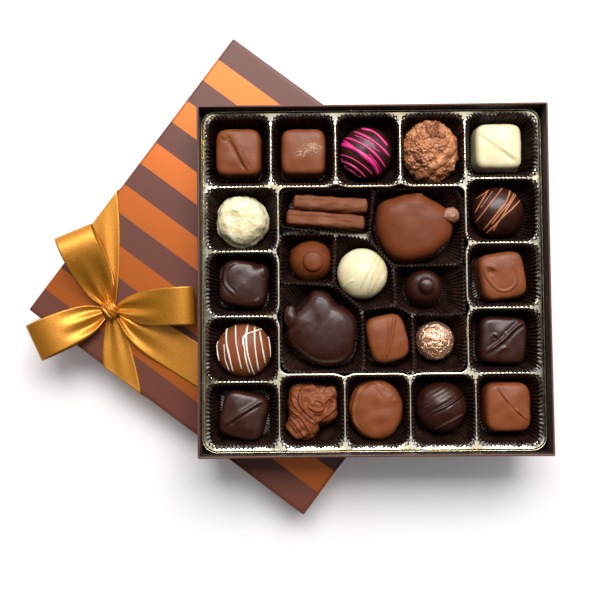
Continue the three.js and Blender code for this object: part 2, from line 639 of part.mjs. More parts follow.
// Half of the band that crosses the lid's corner: from under the knot to an edge and down its wall.
// near is true for the edge towards the front, reach is how far along it the band's middle crosses.
function bandHalf(near, reach, slide) {
  const edge = near ? ALONG_NEAR : ALONG_FAR;
  const outward = near ? ALONG_FAR.clone().negate() : ALONG_NEAR.clone().negate();
  const skin = RIBBON.thickness / 2 + 0.1;
  const crossing = (z, along, off) =>
    lidCorner(z).addScaledVector(edge, along).addScaledVector(outward, off).setZ(z);
  const topZ = LID.height + skin;
  const knot = new THREE.Vector3(KNOT.x, KNOT.y, topZ);
  const lip = crossing(LID.height, reach, skin * 0.6).setZ(topZ);
  const heading = lip.clone().sub(knot).setZ(0).normalize();
  const square = new THREE.Vector3().crossVectors(UP, heading);
  const slant = RIBBON.bandWidth / Math.abs(square.dot(edge));
  const edgeSide = edge.clone().multiplyScalar(Math.sign(square.dot(edge)));
  const stations = [];
  for (const u of [0.1, 0.35, 0.7]) {
    const side = square.clone().lerp(edgeSide, u).normalize();
    const width = THREE.MathUtils.lerp(9, slant, Math.min(1, u * 1.25));
    stations.push({ at: knot.clone().lerp(lip, u), side, width });
  }
  stations.push({ at: lip, side: edgeSide, width: slant });
  for (const u of [0.06, 0.5, 0.98]) {
    const z = LID.height * (1 - u);
    stations.push({ at: crossing(z, reach + slide * u, skin + 0.25), side: edgeSide, width: slant });
  }
  return stations;
}

function ribbonBand() {
  const far = bandHalf(false, BAND.far.reach, BAND.far.slide).reverse();
  const near = bandHalf(true, BAND.near.reach, BAND.near.slide);
  const flipped = far.map((station) => ({ ...station, side: station.side.clone().negate() }));
  return ribbonStrip([...flipped, ...near]);
}

// The band's run under the open lid, level with the hem.
function ribbonUnderRun() {
  const z = 0.2 + RIBBON.thickness / 2;
  const inset = BOARD + FIT * 2;
  const [far, near] = [BAND.far, BAND.near].map(({ reach, slide }) => reach + slide);
  const start = lidCorner(z).addScaledVector(ALONG_FAR, far).addScaledVector(ALONG_NEAR, inset);
  const end = lidCorner(z).addScaledVector(ALONG_NEAR, near).addScaledVector(ALONG_FAR, inset);
  const heading = end.clone().sub(start).normalize();
  const square = new THREE.Vector3().crossVectors(UP, heading);
  const ends = [[start, ALONG_FAR], [end, ALONG_NEAR]].map(([at, edge]) => {
    const side = edge.clone().multiplyScalar(Math.sign(square.dot(edge)));
    return { at, side, width: RIBBON.bandWidth / Math.abs(square.dot(edge)) };
  });
  return ribbonStrip(ends);
}

// A bow loop: out from the knot over the top, round a soft fold, and back underneath.
function bowLoop({ heading, reach, depth, tipZ, twist, steps = 14 }) {
  const angle = THREE.MathUtils.degToRad(heading);
  const out = new THREE.Vector3(Math.cos(angle), Math.sin(angle), 0);
  const across = new THREE.Vector3().crossVectors(UP, out);
  const start = KNOT.radius + 2.4;
  const rootZ = KNOT_BASE_Z + KNOT.height * 0.5;
  return ribbonStrip(Array.from({ length: steps + 1 }, (_, i) => {
    const u = 0.04 + (0.92 * i) / steps;
    const share = Math.sin(Math.PI * u);
    const along = start + (reach - start) * share;
    const z = THREE.MathUtils.lerp(rootZ, tipZ, share) + (depth / 2) * Math.sin(2 * Math.PI * u);
    const at = new THREE.Vector3(KNOT.x, KNOT.y, z).addScaledVector(out, along);
    const width = THREE.MathUtils.lerp(4.5, RIBBON.width - 0.6, Math.min(1, (share - 0.1) * 3.4));
    const side = across.clone().applyAxisAngle(out, twist * share);
    return { at, side, width };
  }));
}

// The loose end of the ribbon: it leaves the knot, comes down on the lid and runs under the box.
function ribbonTail() {
  const from = new THREE.Vector3(KNOT.x, KNOT.y, 0);
  const wall = new THREE.Vector3(-BOX.side / 2, -53.6, 0);
  const heading = wall.clone().sub(from).normalize();
  const across = new THREE.Vector3().crossVectors(UP, heading);
  const length = wall.distanceTo(from);
  const lying = LID.height + 0.05 + RIBBON.thickness / 2;
  const path = [
    [0.12, KNOT_BASE_Z + 2.2, 5], [0.2, KNOT_BASE_Z + 2.4, 11], [0.32, KNOT_BASE_Z + 2.0, 19],
    [0.5, lying + 1.2, 23.4], [0.66, lying + 0.5, RIBBON.width], [0.82, lying, RIBBON.width],
    [1, lying, RIBBON.width], [1 + RIBBON.underBox / length, lying, RIBBON.width],
  ];
  return ribbonStrip(path.map(([share, z, width]) => ({
    at: from.clone().addScaledVector(heading, share * length).setZ(z), side: across, width,
  })));
}

function knot() {
  const turns = [[0, 0.7], [0.12, 0.96], [0.35, 1.05], [0.6, 1], [0.85, 0.8], [1, 0.42]];
  return dipped(lobed(KNOT.radius, 0.08, [[3, 0.35, 20], [5, 0.25, 50]]),
    turns.map(([z, share]) => [z * KNOT.height, share]), 14);
}

// Assembly
add("lid", liftOffLid(), "lid", LID);
add("box_tray", openTray(BOX.side / 2, BOX.height, BOX.bottom), "board");
add("gold_insert", goldInsert(), "gold", INSERT);

ringCells().forEach((cell, i) => {
  const praline = RING_PRALINES[i];
  const [hx, hy] = cellHalves(cell.side);
  const wide = (inset) => superellipse(hx - inset, hy - inset, 6);
  const place = { x: INSERT.x + cell.x, y: INSERT.y + cell.y };
  add(`cup_${praline.name}`,
    paperCup(wide(CUP.clearance), wide(CUP.clearance + CUP.flare), CUP_RIM_Z, 11), "paper", place);
  add(praline.name, praline.shape(), praline.look,
    { x: place.x + praline.dx, y: place.y + praline.dy, z: SEAT_Z, turn: praline.turn });
});

// A cup of the middle compartment fills its cell up to its neighbours, half a fitting gap inside.
function addMiddleCup(name, { x, y, cup, rimDrop = 0 }, folds) {
  const edge = cellAround(cup, x, y, FIT / 2);
  const floorEdge = cellAround(cup, x, y, FIT / 2 + CUP.middleFlare);
  add(`cup_${name}`, paperCup(edge, floorEdge, MIDDLE_RIM_Z - rimDrop, folds), "paper",
    { x: INSERT.x + x, y: INSERT.y + y });
}

for (const praline of MIDDLE_PRALINES) {
  addMiddleCup(praline.name, praline, praline.rimDrop ? 14 : 11);
  add(praline.name, praline.shape(), praline.look,
    { x: INSERT.x + praline.x, y: INSERT.y + praline.y, z: SEAT_Z, turn: praline.turn });
}

addMiddleCup("milk_sticks", STICKS, 13);
for (const side of ["far", "near"]) {
  const { x, y, turn, length, width, height } = STICKS[side];
  add(`milk_stick_${side}`, stick(length, width, height), "milk",
    { x: INSERT.x + x, y: INSERT.y + y, z: SEAT_Z, turn });
}

add("ribbon_band", ribbonBand(), "satin");
add("ribbon_under_run", ribbonUnderRun(), "satin");
add("ribbon_knot", knot(), "satin", { x: KNOT.x, y: KNOT.y, z: KNOT_BASE_Z, turn: 40 });
add("ribbon_loop_far", bowLoop({ heading: 113.5, reach: 53, depth: 11, tipZ: 38, twist: 0.1 }), "satin");
add("ribbon_loop_left", bowLoop({ heading: 204, reach: 51, depth: 8, tipZ: 33.5, twist: -0.06 }), "satin");
add("ribbon_loop_right", bowLoop({ heading: 2, reach: 54, depth: 10, tipZ: 38.5, twist: 0.05 }), "satin");
add("ribbon_tail", ribbonTail(), "satin");

const footprint = new THREE.Box3().setFromObject(group, true);
const centre = footprint.getCenter(new THREE.Vector3());
for (const mesh of group.children) mesh.position.add(new THREE.Vector3(-centre.x, -centre.y, 0));

export default group;
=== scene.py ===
"""Looks of an open box of chocolate pralines that stands on its striped lid, tied with a satin bow.

All layout is in millimetres from the open box's centre, z = 0 on the table, as in the part's source.
place() turns that into the frame's metres.
"""
import math

import bmesh
import bpy
import numpy as np
from mathutils import Matrix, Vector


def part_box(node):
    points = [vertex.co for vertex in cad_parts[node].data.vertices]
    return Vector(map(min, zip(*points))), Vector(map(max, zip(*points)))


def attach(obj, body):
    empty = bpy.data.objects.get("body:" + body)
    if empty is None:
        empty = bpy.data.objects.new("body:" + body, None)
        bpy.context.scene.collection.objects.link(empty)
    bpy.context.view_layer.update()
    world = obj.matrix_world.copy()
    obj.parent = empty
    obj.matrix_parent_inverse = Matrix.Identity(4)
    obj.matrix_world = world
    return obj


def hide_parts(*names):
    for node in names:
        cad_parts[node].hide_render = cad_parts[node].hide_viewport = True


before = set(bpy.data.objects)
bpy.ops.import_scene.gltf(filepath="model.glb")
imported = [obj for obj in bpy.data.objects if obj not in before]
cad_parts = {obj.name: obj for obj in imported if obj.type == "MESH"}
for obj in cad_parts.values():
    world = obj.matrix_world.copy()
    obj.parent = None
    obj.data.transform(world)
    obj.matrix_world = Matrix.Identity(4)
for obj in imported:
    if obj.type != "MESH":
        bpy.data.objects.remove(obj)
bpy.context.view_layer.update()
scene = bpy.context.scene

# Driving dimensions, in mm
BOARD = 1.5
LID_SIDE, LID_HEIGHT, LID_BOW = 216.0, 26.0, 5.5
LID_CENTRE, LID_TURN = (-64.7, 5.7), math.radians(-37.03)
STRIPES = 13
BOX_SIDE, BOX_BOTTOM, RIM_Z = 212.0, 26.5, 54.0
INSERT_CENTRE, INSERT_HALF, INSERT_RADIUS = (-0.3, 0.1), 104.0, 9.0
INSERT_BOTTOM_Z, CELL_FLOOR_Z, RIDGE_Z = 28.1, 28.9, 46.8
CELL_OUTER, CELL_PITCH, CELL_INNER, RIDGE = 100.8, 39.5, 57.2, 1.4
CELL_RADIUS, MIDDLE_RADIUS, CELL_DRAFT, CELL_FILLET = 7.5, 4.5, 1.0, 0.5
# The outer edge of the insert stands higher at the far and near sides and sags at the left and right.
EDGE_RISE, EDGE_SAG = 0.5, -0.3
CUP_BASE_Z, CUP_RIM_Z, CUP_GAP = 29.05, 47.4, 0.25
SEAT_Z = 29.4
MIDDLE_RIM_Z, MIDDLE_LEAN = CUP_RIM_Z - 3.0, 0.85
FLUTE_PITCH, FLUTE_DEPTH, PAPER = 2.45, 0.95, 0.1
RIBBON_WIDTH, RIBBON_THICKNESS = 24.0, 0.35

low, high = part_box("box_tray")
ORIGIN = np.array([(low[0] + high[0]) / 2, (low[1] + high[1]) / 2, 0.0])


def place(points):
    """Millimetres from the box's centre to metres in the frame."""
    return np.asarray(points, dtype=float) * 0.001 + ORIGIN


def unit(v):
    """A vector, or each one of many, at length 1."""
    return v / np.maximum(np.linalg.norm(v, axis=-1, keepdims=True), 1e-9)


def turned(flat, angle):
    """Points [x, y] turned anticlockwise."""
    c, s = math.cos(angle), math.sin(angle)
    return flat @ np.array([[c, s], [-s, c]])


# Mesh building

def add_piece(name, points, faces, materials, nodes, slot, face_material=None, smooth=True):
    """A new mesh piece in place of nodes. points are in mm, and faces index them."""
    mesh = bpy.data.meshes.new(name)
    mesh.from_pydata(place(points).tolist(), [], faces)
    for material in materials if isinstance(materials, (list, tuple)) else [materials]:
        mesh.materials.append(material)
    mesh.polygons.foreach_set("use_smooth", [smooth] * len(faces))
    if face_material is not None:
        mesh.polygons.foreach_set("material_index", face_material)
    mesh.validate()
    mesh.update()
    piece = bpy.data.objects.new(name, mesh)
    scene.collection.objects.link(piece)
    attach(piece, "root")
    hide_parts(*nodes)
    return piece


def ring_faces(ring_count, around, offset=0, first=True):
    """Quads between rings of points, a fan at the last ring and, if first is true, one at the first."""
    faces = []
    for i in range(ring_count - 1):
        for j in range(around):
            k = (j + 1) % around
            a, b = offset + i * around, offset + (i + 1) * around
            faces.append((a + j, a + k, b + k, b + j))
    total = offset + ring_count * around
    if first:
        faces += [(total, offset + (j + 1) % around, offset + j) for j in range(around)]
        total += 1
    top = offset + (ring_count - 1) * around
    return faces + [(total, top + j, top + (j + 1) % around) for j in range(around)]


def lofted(rings):
    """Closed body through rings, shape (rings, points, 3), with both ends fanned."""
    rings = np.asarray(rings, dtype=float)
    points = np.concatenate([rings.reshape(-1, 3), [rings[0].mean(axis=0)], [rings[-1].mean(axis=0)]])
    return points, ring_faces(len(rings), rings.shape[1])


def rounded_rect(half_x, half_y, radius, z, per_corner, per_side):
    """Anticlockwise outline of a rounded rectangle at a height."""
    points = []
    corners = [(1, 1), (-1, 1), (-1, -1), (1, -1)]
    for quarter, (sx, sy) in enumerate(corners):
        middle = np.array([sx * (half_x - radius), sy * (half_y - radius)])
        for i in range(per_corner):
            angle = (quarter + i / (per_corner - 1)) * math.pi / 2
            points.append(middle + radius * np.array([math.cos(angle), math.sin(angle)]))
        nx, ny = corners[(quarter + 1) % 4]
        angle = (quarter + 1) * math.pi / 2
        start = points[-1]
        end = np.array([nx * (half_x - radius), ny * (half_y - radius)])
        end = end + radius * np.array([math.cos(angle), math.sin(angle)])
        points += [start + (end - start) * k / per_side for k in range(1, per_side)]
    flat = np.array(points)
    return np.column_stack([flat, np.full(len(flat), float(z))])


def superellipse(half_x, half_y, power):
    """Radius over angle of a rounded rectangle, or of an ellipse at power 2."""
    def outline(angle):
        x = np.abs(np.cos(angle) / half_x) ** power
        y = np.abs(np.sin(angle) / half_y) ** power
        return (x + y) ** (-1 / power)
    return outline


def between(a, b, c, d, u):
    """Catmull-Rom curve from b at u = 0 to c at u = 1, with a and d as their neighbours."""
    return b + 0.5 * u * (c - a + u * (2 * a - 5 * b + 4 * c - d + u * (3 * (b - c) + d - a)))


def freehand(radii):
    """Radius over angle through evenly spaced radii, from +X anticlockwise."""
    radii = np.array(radii, dtype=float)
    count = len(radii)

    def outline(angle):
        at = (np.asarray(angle) / (2 * math.pi) * count) % count
        i = np.floor(at).astype(int)
        return between(*(radii[(i + k) % count] for k in (-1, 0, 1, 2)), at - i)
    return outline


def lobed(radius, stretch=0.0, lobes=()):
    """Radius over angle of a circle with a stretch along X and (waves, depth, degrees) lobes."""
    def outline(angle):
        r = radius * (1 + stretch * np.cos(2 * angle))
        for count, depth, phase in lobes:
            r = r + depth * np.cos(count * (angle - math.radians(phase)))
        return r
    return outline


def even_angles(outline, count, samples=1441):
    """Angles at which evenly spaced points of an outline lie, and the outline's length."""
    fine = np.linspace(0, 2 * math.pi, samples)
    r = outline(fine)
    steps = np.hypot(np.diff(r * np.cos(fine)), np.diff(r * np.sin(fine)))
    reached = np.concatenate([[0], np.cumsum(steps)])
    return np.interp(np.arange(count) / count * reached[-1], reached, fine), reached[-1]


def blend_rows(rows, steps):
    """Catmull-Rom through rows of numbers, all columns at the same parameter."""
    p = np.asarray(rows, dtype=float)
    p = np.concatenate([[2 * p[0] - p[1]], p, [2 * p[-1] - p[-2]]])
    u = np.linspace(0, 1, steps + 1)[:-1, None]
    runs = [between(*corners, u) for corners in zip(p[:-3], p[1:-2], p[2:-1], p[3:])]
    return np.concatenate(runs + [p[-2:-1]])


def spline(points, count, steps=12):
    """Evenly spaced points on a Catmull-Rom curve through the given points."""
    fine = blend_rows(points, steps)
    reached = np.concatenate([[0], np.cumsum(np.linalg.norm(np.diff(fine, axis=0), axis=1))])
    at = np.linspace(0, reached[-1], count)
    return np.column_stack([np.interp(at, reached, fine[:, k]) for k in range(fine.shape[1])])


def waves(points, size, seed, count=7):
    """Smooth repeatable noise of about -1 to 1; size is its feature size in mm."""
    draw = np.random.default_rng(seed)
    total = np.zeros(len(points))
    for _ in range(count):
        heading = draw.normal(size=points.shape[1])
        heading *= 2 * math.pi / (size * draw.uniform(0.7, 1.6)) / np.linalg.norm(heading)
        total += np.sin(points @ heading + draw.uniform(0, 2 * math.pi))
    return total / math.sqrt(count)


# Materials

# Noise seldom leaves this range.
NOISE_RANGE = (0.35, 0.65)


def new_material(name, color, roughness, metallic=0.0, **sockets):
    """A shader's constants. Further sockets are named with underscores for spaces."""
    material = bpy.data.materials.new(name)
    material.use_nodes = True
    shader = material.node_tree.nodes["Principled BSDF"]
    shader.inputs["Base Color"].default_value = (*color, 1)
    shader.inputs["Roughness"].default_value = roughness
    shader.inputs["Metallic"].default_value = metallic
    for socket, value in sockets.items():
        shader.inputs[socket.replace("_", " ")].default_value = value
    return material, material.node_tree, shader


def position(tree):
    """Object coordinates, in metres."""
    return tree.nodes.new("ShaderNodeTexCoord").outputs["Object"]


def noise(tree, size, detail=3.0):
    """Noise whose features are about size mm across."""
    texture = tree.nodes.new("ShaderNodeTexNoise")
    texture.inputs["Scale"].default_value = 1000.0 / size
    texture.inputs["Detail"].default_value = detail
    tree.links.new(position(tree), texture.inputs["Vector"])
    return texture.outputs["Fac"]


def ramp(tree, factor, stops):
    """Colours over a factor, from (position, colour) stops."""
    node = tree.nodes.new("ShaderNodeValToRGB")
    elements = node.color_ramp.elements
    for i, (at, color) in enumerate(stops):
        element = elements[i] if i < 2 else elements.new(at)
        element.position = at
        element.color = (*color, 1)
    tree.links.new(factor, node.inputs["Fac"])
    return node.outputs["Color"]


def vary_color(tree, shader, size, dark, light):
    stops = zip(NOISE_RANGE, (dark, light))
    tree.links.new(ramp(tree, noise(tree, size), stops), shader.inputs["Base Color"])


def vary_roughness(tree, shader, size, low_value, high_value):
    span = tree.nodes.new("ShaderNodeMapRange")
    span.inputs["From Min"].default_value, span.inputs["From Max"].default_value = NOISE_RANGE
    span.inputs["To Min"].default_value = low_value
    span.inputs["To Max"].default_value = high_value
    tree.links.new(noise(tree, size), span.inputs["Value"])
    tree.links.new(span.outputs["Result"], shader.inputs["Roughness"])


def add_bump(tree, shader, heights, strength=0.5):
    """Bump from [(height socket, depth in mm)], one after another."""
    normal = None
    for height, depth in heights:
        node = tree.nodes.new("ShaderNodeBump")
        node.inputs["Strength"].default_value = strength
        node.inputs["Distance"].default_value = depth * 0.001
        tree.links.new(height, node.inputs["Height"])
        if normal:
            tree.links.new(normal, node.inputs["Normal"])
        normal = node.outputs["Normal"]
    tree.links.new(normal, shader.inputs["Normal"])


def chocolate(name, dark, light, roughness, grain=0.12, gloss=0.5, **sockets):
    """Tempered chocolate: a slow drift of tone, a satin skin and faint pitting."""
    middle = tuple((a + b) / 2 for a, b in zip(dark, light))
    material, tree, shader = new_material(name, middle, roughness, Specular_IOR_Level=gloss, **sockets)
    vary_color(tree, shader, 9, dark, light)
    vary_roughness(tree, shader, 4, roughness - 0.05, roughness + 0.08)
    add_bump(tree, shader, [(noise(tree, 3.5), grain), (noise(tree, 0.7, 2), grain * 0.3)], 0.5)
    return material


MILK = chocolate("milk_chocolate", (0.210, 0.053, 0.015), (0.260, 0.070, 0.022), 0.42, gloss=0.30)
MILK_DEEP = chocolate("deep_milk_chocolate", (0.160, 0.038, 0.010), (0.195, 0.048, 0.014), 0.42, gloss=0.20)
MILK_MATTE = chocolate("matte_milk_chocolate", (0.175, 0.050, 0.019), (0.260, 0.086, 0.038), 0.58, 0.3, 0.2)
DARK = chocolate("dark_chocolate", (0.031, 0.0074, 0.0042), (0.047, 0.0126, 0.0078), 0.29, gloss=0.42)
WHITE = chocolate("white_chocolate", (0.88, 0.75, 0.43), (0.94, 0.84, 0.57), 0.38,
                  Subsurface_Weight=0.5, Subsurface_Scale=0.003, Subsurface_Radius=(1.0, 0.8, 0.42))
MILK_LINE = chocolate("milk_chocolate_drizzle", (0.52, 0.17, 0.060), (0.62, 0.24, 0.10), 0.36)
WHITE_LINE = chocolate("white_chocolate_drizzle", (0.88, 0.82, 0.72), (0.94, 0.90, 0.82), 0.38)
CREAM_LINE = chocolate("cream_drizzle", (0.76, 0.57, 0.25), (0.86, 0.71, 0.40), 0.40)
PINK_LINE = chocolate("pink_drizzle", (0.80, 0.016, 0.20), (0.90, 0.08, 0.35), 0.34)
NUT_MILK = chocolate("milk_chocolate_with_nut", (0.22, 0.060, 0.018), (0.66, 0.27, 0.11), 0.30, 0.5, 0.6)
NUT_END = chocolate("bare_nut", (0.23, 0.085, 0.044), (0.36, 0.155, 0.092), 0.36)
CRUMB = chocolate("pale_crumb", (0.56, 0.27, 0.15), (0.84, 0.56, 0.38), 0.40)


def make_paper():
    material, tree, shader = new_material("brown_glassine", (0.026, 0.012, 0.008), 0.30)
    vary_color(tree, shader, 6, (0.013, 0.0055, 0.0040), (0.038, 0.017, 0.012))
    add_bump(tree, shader, [(noise(tree, 0.5, 2), 0.05)], 0.4)
    return material


def make_gold():
    material, tree, shader = new_material("pale_gold_film", (0.94, 0.86, 0.64), 0.2, 1.0)
    vary_color(tree, shader, 14, (0.90, 0.78, 0.50), (0.99, 0.95, 0.80))
    vary_roughness(tree, shader, 5, 0.10, 0.24)
    add_bump(tree, shader, [(noise(tree, 4, 2), 0.16), (noise(tree, 1.2, 2), 0.05)], 0.6)
    return material


def make_card(name, dark, light, roughness):
    material, tree, shader = new_material(name, light, roughness)
    vary_color(tree, shader, 12, dark, light)
    add_bump(tree, shader, [(noise(tree, 0.35, 2), 0.03)], 0.4)
    return material


def make_lid_card():
    """Stripes across the lid: satin brown card with bands of copper foil, running on down the walls."""
    brown, copper = (0.146, 0.041, 0.025), (0.46, 0.108, 0.014)
    foil_metallic, brown_roughness, foil_smoother = 0.6, 0.46, 0.10
    material, tree, shader = new_material("striped_lid_card", brown, 0.42, Coat_Weight=0.22,
                                          Coat_Roughness=0.30, Specular_IOR_Level=0.25)
    dot = tree.nodes.new("ShaderNodeVectorMath")
    dot.operation = "DOT_PRODUCT"
    across = (-math.sin(LID_TURN), math.cos(LID_TURN), 0)
    dot.inputs[1].default_value = across
    tree.links.new(position(tree), dot.inputs[0])
    centre = place((*LID_CENTRE, 0))
    pitch = LID_SIDE / STRIPES * 0.001
    edge = sum(a * b for a, b in zip(across, centre)) + LID_SIDE / 2 * 0.001

    def math_node(operation, first, second):
        node = tree.nodes.new("ShaderNodeMath")
        node.operation = operation
        for socket, value in zip(node.inputs, (first, second)):
            if isinstance(value, (int, float)):
                socket.default_value = value
            else:
                tree.links.new(value, socket)
        return node.outputs[0]

    # The first stripe is brown, and every second one from there is copper.
    count = math_node("DIVIDE", math_node("SUBTRACT", edge, dot.outputs["Value"]), pitch)
    odd = math_node("GREATER_THAN", math_node("PINGPONG", math_node("ADD", count, 1.5), 1.0), 0.5)
    band = tree.nodes.new("ShaderNodeMix")
    band.data_type = "RGBA"
    tree.links.new(odd, band.inputs["Factor"])
    drift = ramp(tree, noise(tree, 30), [(0.3, tuple(0.93 * c for c in brown)), (0.7, brown)])
    tree.links.new(drift, band.inputs["A"])
    band.inputs["B"].default_value = (*copper, 1)
    tree.links.new(band.outputs["Result"], shader.inputs["Base Color"])
    tree.links.new(math_node("MULTIPLY", odd, foil_metallic), shader.inputs["Metallic"])
    roughness = math_node("SUBTRACT", brown_roughness, math_node("MULTIPLY", odd, foil_smoother))
    tree.links.new(roughness, shader.inputs["Roughness"])
    add_bump(tree, shader, [(noise(tree, 0.4, 2), 0.02)], 0.4)
    return material


def make_satin():
    material, tree, shader = new_material(
        "gold_satin", (0.60, 0.23, 0.016), 0.36, 0.6, Coat_Weight=0.2, Coat_Roughness=0.4)
    vary_color(tree, shader, 0.6, (0.53, 0.19, 0.011), (0.70, 0.29, 0.024))
    add_bump(tree, shader, [(noise(tree, 0.45, 2), 0.12)], 0.5)
    return material


def make_foil():
    material, tree, shader = new_material("rose_gold_foil", (0.94, 0.52, 0.32), 0.27, 0.85)
    vary_color(tree, shader, 3, (0.92, 0.44, 0.25), (1.0, 0.64, 0.45))
    add_bump(tree, shader, [(noise(tree, 0.8, 2), 0.12)], 0.6)
    return material


PAPER_BROWN = make_paper()
GOLD = make_gold()
CARD = make_card("brown_card", (0.105, 0.035, 0.022), (0.145, 0.052, 0.034), 0.48)
CARD_INSIDE = make_card("brown_card_inside", (0.020, 0.012, 0.011), (0.034, 0.020, 0.018), 0.5)
RAW_BOARD = make_card("raw_board", (0.50, 0.38, 0.28), (0.66, 0.54, 0.42), 0.8)
STRIPED = make_lid_card()
SATIN = make_satin()
FOIL = make_foil()


# Lid and box

def face_picks(points, levels, picks):
    """Material index of every face of a lofted body, from one per row of quads and one per end."""
    return np.repeat(picks, (len(points) - 2) // len(levels)).tolist()


def lid_ring(half, z):
    """A ring of the turned lid, whose wall on its own +X side has sprung outward at the hem."""
    radius = 1.0
    ring = rounded_rect(half, half, radius, z, 5, 16)
    drop = 1 - z / LID_HEIGHT
    share = np.clip(ring[:, 1] / half, -1, 1)
    swell = LID_BOW * drop * np.clip(np.cos(share * math.pi / 2), 0, 1) ** 0.6
    ring[:, 0] += np.where(ring[:, 0] > half - radius * 0.5, swell, 0)
    ring[:, :2] = turned(ring[:, :2], LID_TURN) + LID_CENTRE
    return ring


def build_lid():
    """Levels run up inside, over the hem and up the outside to the top."""
    half = LID_SIDE / 2
    inner = half - BOARD
    levels = [(inner - 0.6, LID_HEIGHT - BOARD), (inner, LID_HEIGHT - BOARD - 0.6), (inner, 0.0)]
    levels += [(half, 0.0), (half, 0.9), (half, LID_HEIGHT * 0.5), (half, LID_HEIGHT - 0.8)]
    levels += [(half - 0.24, LID_HEIGHT - 0.24), (half - 0.8, LID_HEIGHT), (half - 3, LID_HEIGHT)]
    points, faces = lofted([lid_ring(size, z) for size, z in levels])
    printed, raw, inside = 0, 1, 2
    picks = [inside] * 2 + [raw] * 2 + [printed] * 5 + [inside, printed]
    add_piece("lid_card", points, faces, [STRIPED, RAW_BOARD, CARD_INSIDE], ["lid"], "lid_board",
              face_picks(points, levels, picks))


def build_box():
    """Levels run from the bottom up the outside, over the rounded rim and down to the floor inside."""
    half = BOX_SIDE / 2
    inner = half - BOARD
    floor_z = BOX_BOTTOM + BOARD
    wall_bow = 0.35
    levels = [(half - 2, BOX_BOTTOM), (half - 0.6, BOX_BOTTOM), (half - 0.15, BOX_BOTTOM + 0.3),
              (half, BOX_BOTTOM + 0.9), (half, RIM_Z - 0.8), (half - 0.2, RIM_Z - 0.25),
              (half - 0.7, RIM_Z), (inner + 0.25, RIM_Z - 0.15), (inner, RIM_Z - 0.7),
              (inner, floor_z + 0.5), (inner - 1, floor_z)]
    rings = [rounded_rect(size, size, max(0.4, 1.1 - (half - size) * 0.4), z, 5, 20) for size, z in levels]
    for ring in rings:
        rise = np.clip((ring[:, 2] - BOX_BOTTOM) / (RIM_Z - BOX_BOTTOM), 0, 1)
        for axis, side in ((0, 1), (1, 0)):
            wall = np.abs(ring[:, axis]) > half - 2.5
            bow = wall_bow * np.cos(np.clip(ring[:, side] / half, -1, 1) * math.pi / 2) * rise
            ring[:, axis] -= np.where(wall, np.sign(ring[:, axis]) * bow, 0)
    points, faces = lofted(rings)
    outside, inside = 0, 1
    picks = [outside] * 7 + [inside] * 3 + [outside, inside]
    add_piece("box_card", points, faces, [CARD, CARD_INSIDE], ["box_tray"], "box_board",
              face_picks(points, levels, picks))


# Gold insert

CELL_SHORT = (CELL_PITCH - RIDGE) / 2
CELL_LONG = (CELL_OUTER - CELL_INNER - RIDGE) / 2


def ring_cells():
    """Middles and half sizes of the sixteen cells, clockwise from the far left corner."""
    across = (CELL_OUTER + CELL_INNER) / 2
    cells = []
    for side in range(4):
        turn = -side * math.pi / 2
        for k in range(4):
            along = -CELL_OUTER + CELL_PITCH * (k + 0.5)
            x = along * math.cos(turn) - across * math.sin(turn)
            y = along * math.sin(turn) + across * math.cos(turn)
            half = (CELL_SHORT, CELL_LONG) if side % 2 == 0 else (CELL_LONG, CELL_SHORT)
            cells.append((x + INSERT_CENTRE[0], y + INSERT_CENTRE[1], *half))
    return cells


def middle_outline(grow, z, swell_depth=1.9, swell_width=3.4):
    """The middle compartment's outline: straight walls that swell where two cells meet behind them."""
    half = CELL_INNER - RIDGE / 2 + grow
    ring = rounded_rect(half, half, MIDDLE_RADIUS + grow, z, 9, 40)
    joints = [-CELL_OUTER + CELL_PITCH * k for k in (2, 3)]
    for axis, side, sign in ((0, 1, 1), (1, 0, 1), (0, 1, -1), (1, 0, -1)):
        wall = ring[:, axis] * sign > half - 0.01
        flip = 1 if axis == 1 else -1
        offsets = [(ring[:, side] - flip * sign * joint) / swell_width for joint in joints]
        swell = sum(swell_depth * np.exp(-offset ** 2) for offset in offsets)
        ring[:, axis] += np.where(wall, sign * swell, 0)
    ring[:, :2] += INSERT_CENTRE
    return ring


def pocket_levels():
    """[outward growth, z] of a pocket's wall from its rounded lip down to the floor."""
    lip = [(CELL_FILLET * (1 - math.sin(a)), RIDGE_Z - CELL_FILLET * (1 - math.cos(a)))
           for a in np.linspace(0, math.pi / 2, 6)]
    wall = [(-CELL_DRAFT * 0.5, (RIDGE_Z + CELL_FLOOR_Z) / 2), (-CELL_DRAFT, CELL_FLOOR_Z + 1.0)]
    return lip + wall + [(-CELL_DRAFT - 0.3, CELL_FLOOR_Z + 0.3), (-CELL_DRAFT - 1.2, CELL_FLOOR_Z)]


def pocket(outline):
    """Rings of a pocket whose outline is given for a growth and a height."""
    return np.array([outline(grow, z) for grow, z in pocket_levels()])


def cell_outline(x, y, hx, hy):
    """Outline of a ring cell for a growth and a height."""
    def outline(grow, z):
        ring = rounded_rect(hx + grow, hy + grow, CELL_RADIUS + grow, z, 9, 4)
        ring[:, :2] += (x, y)
        return ring
    return outline


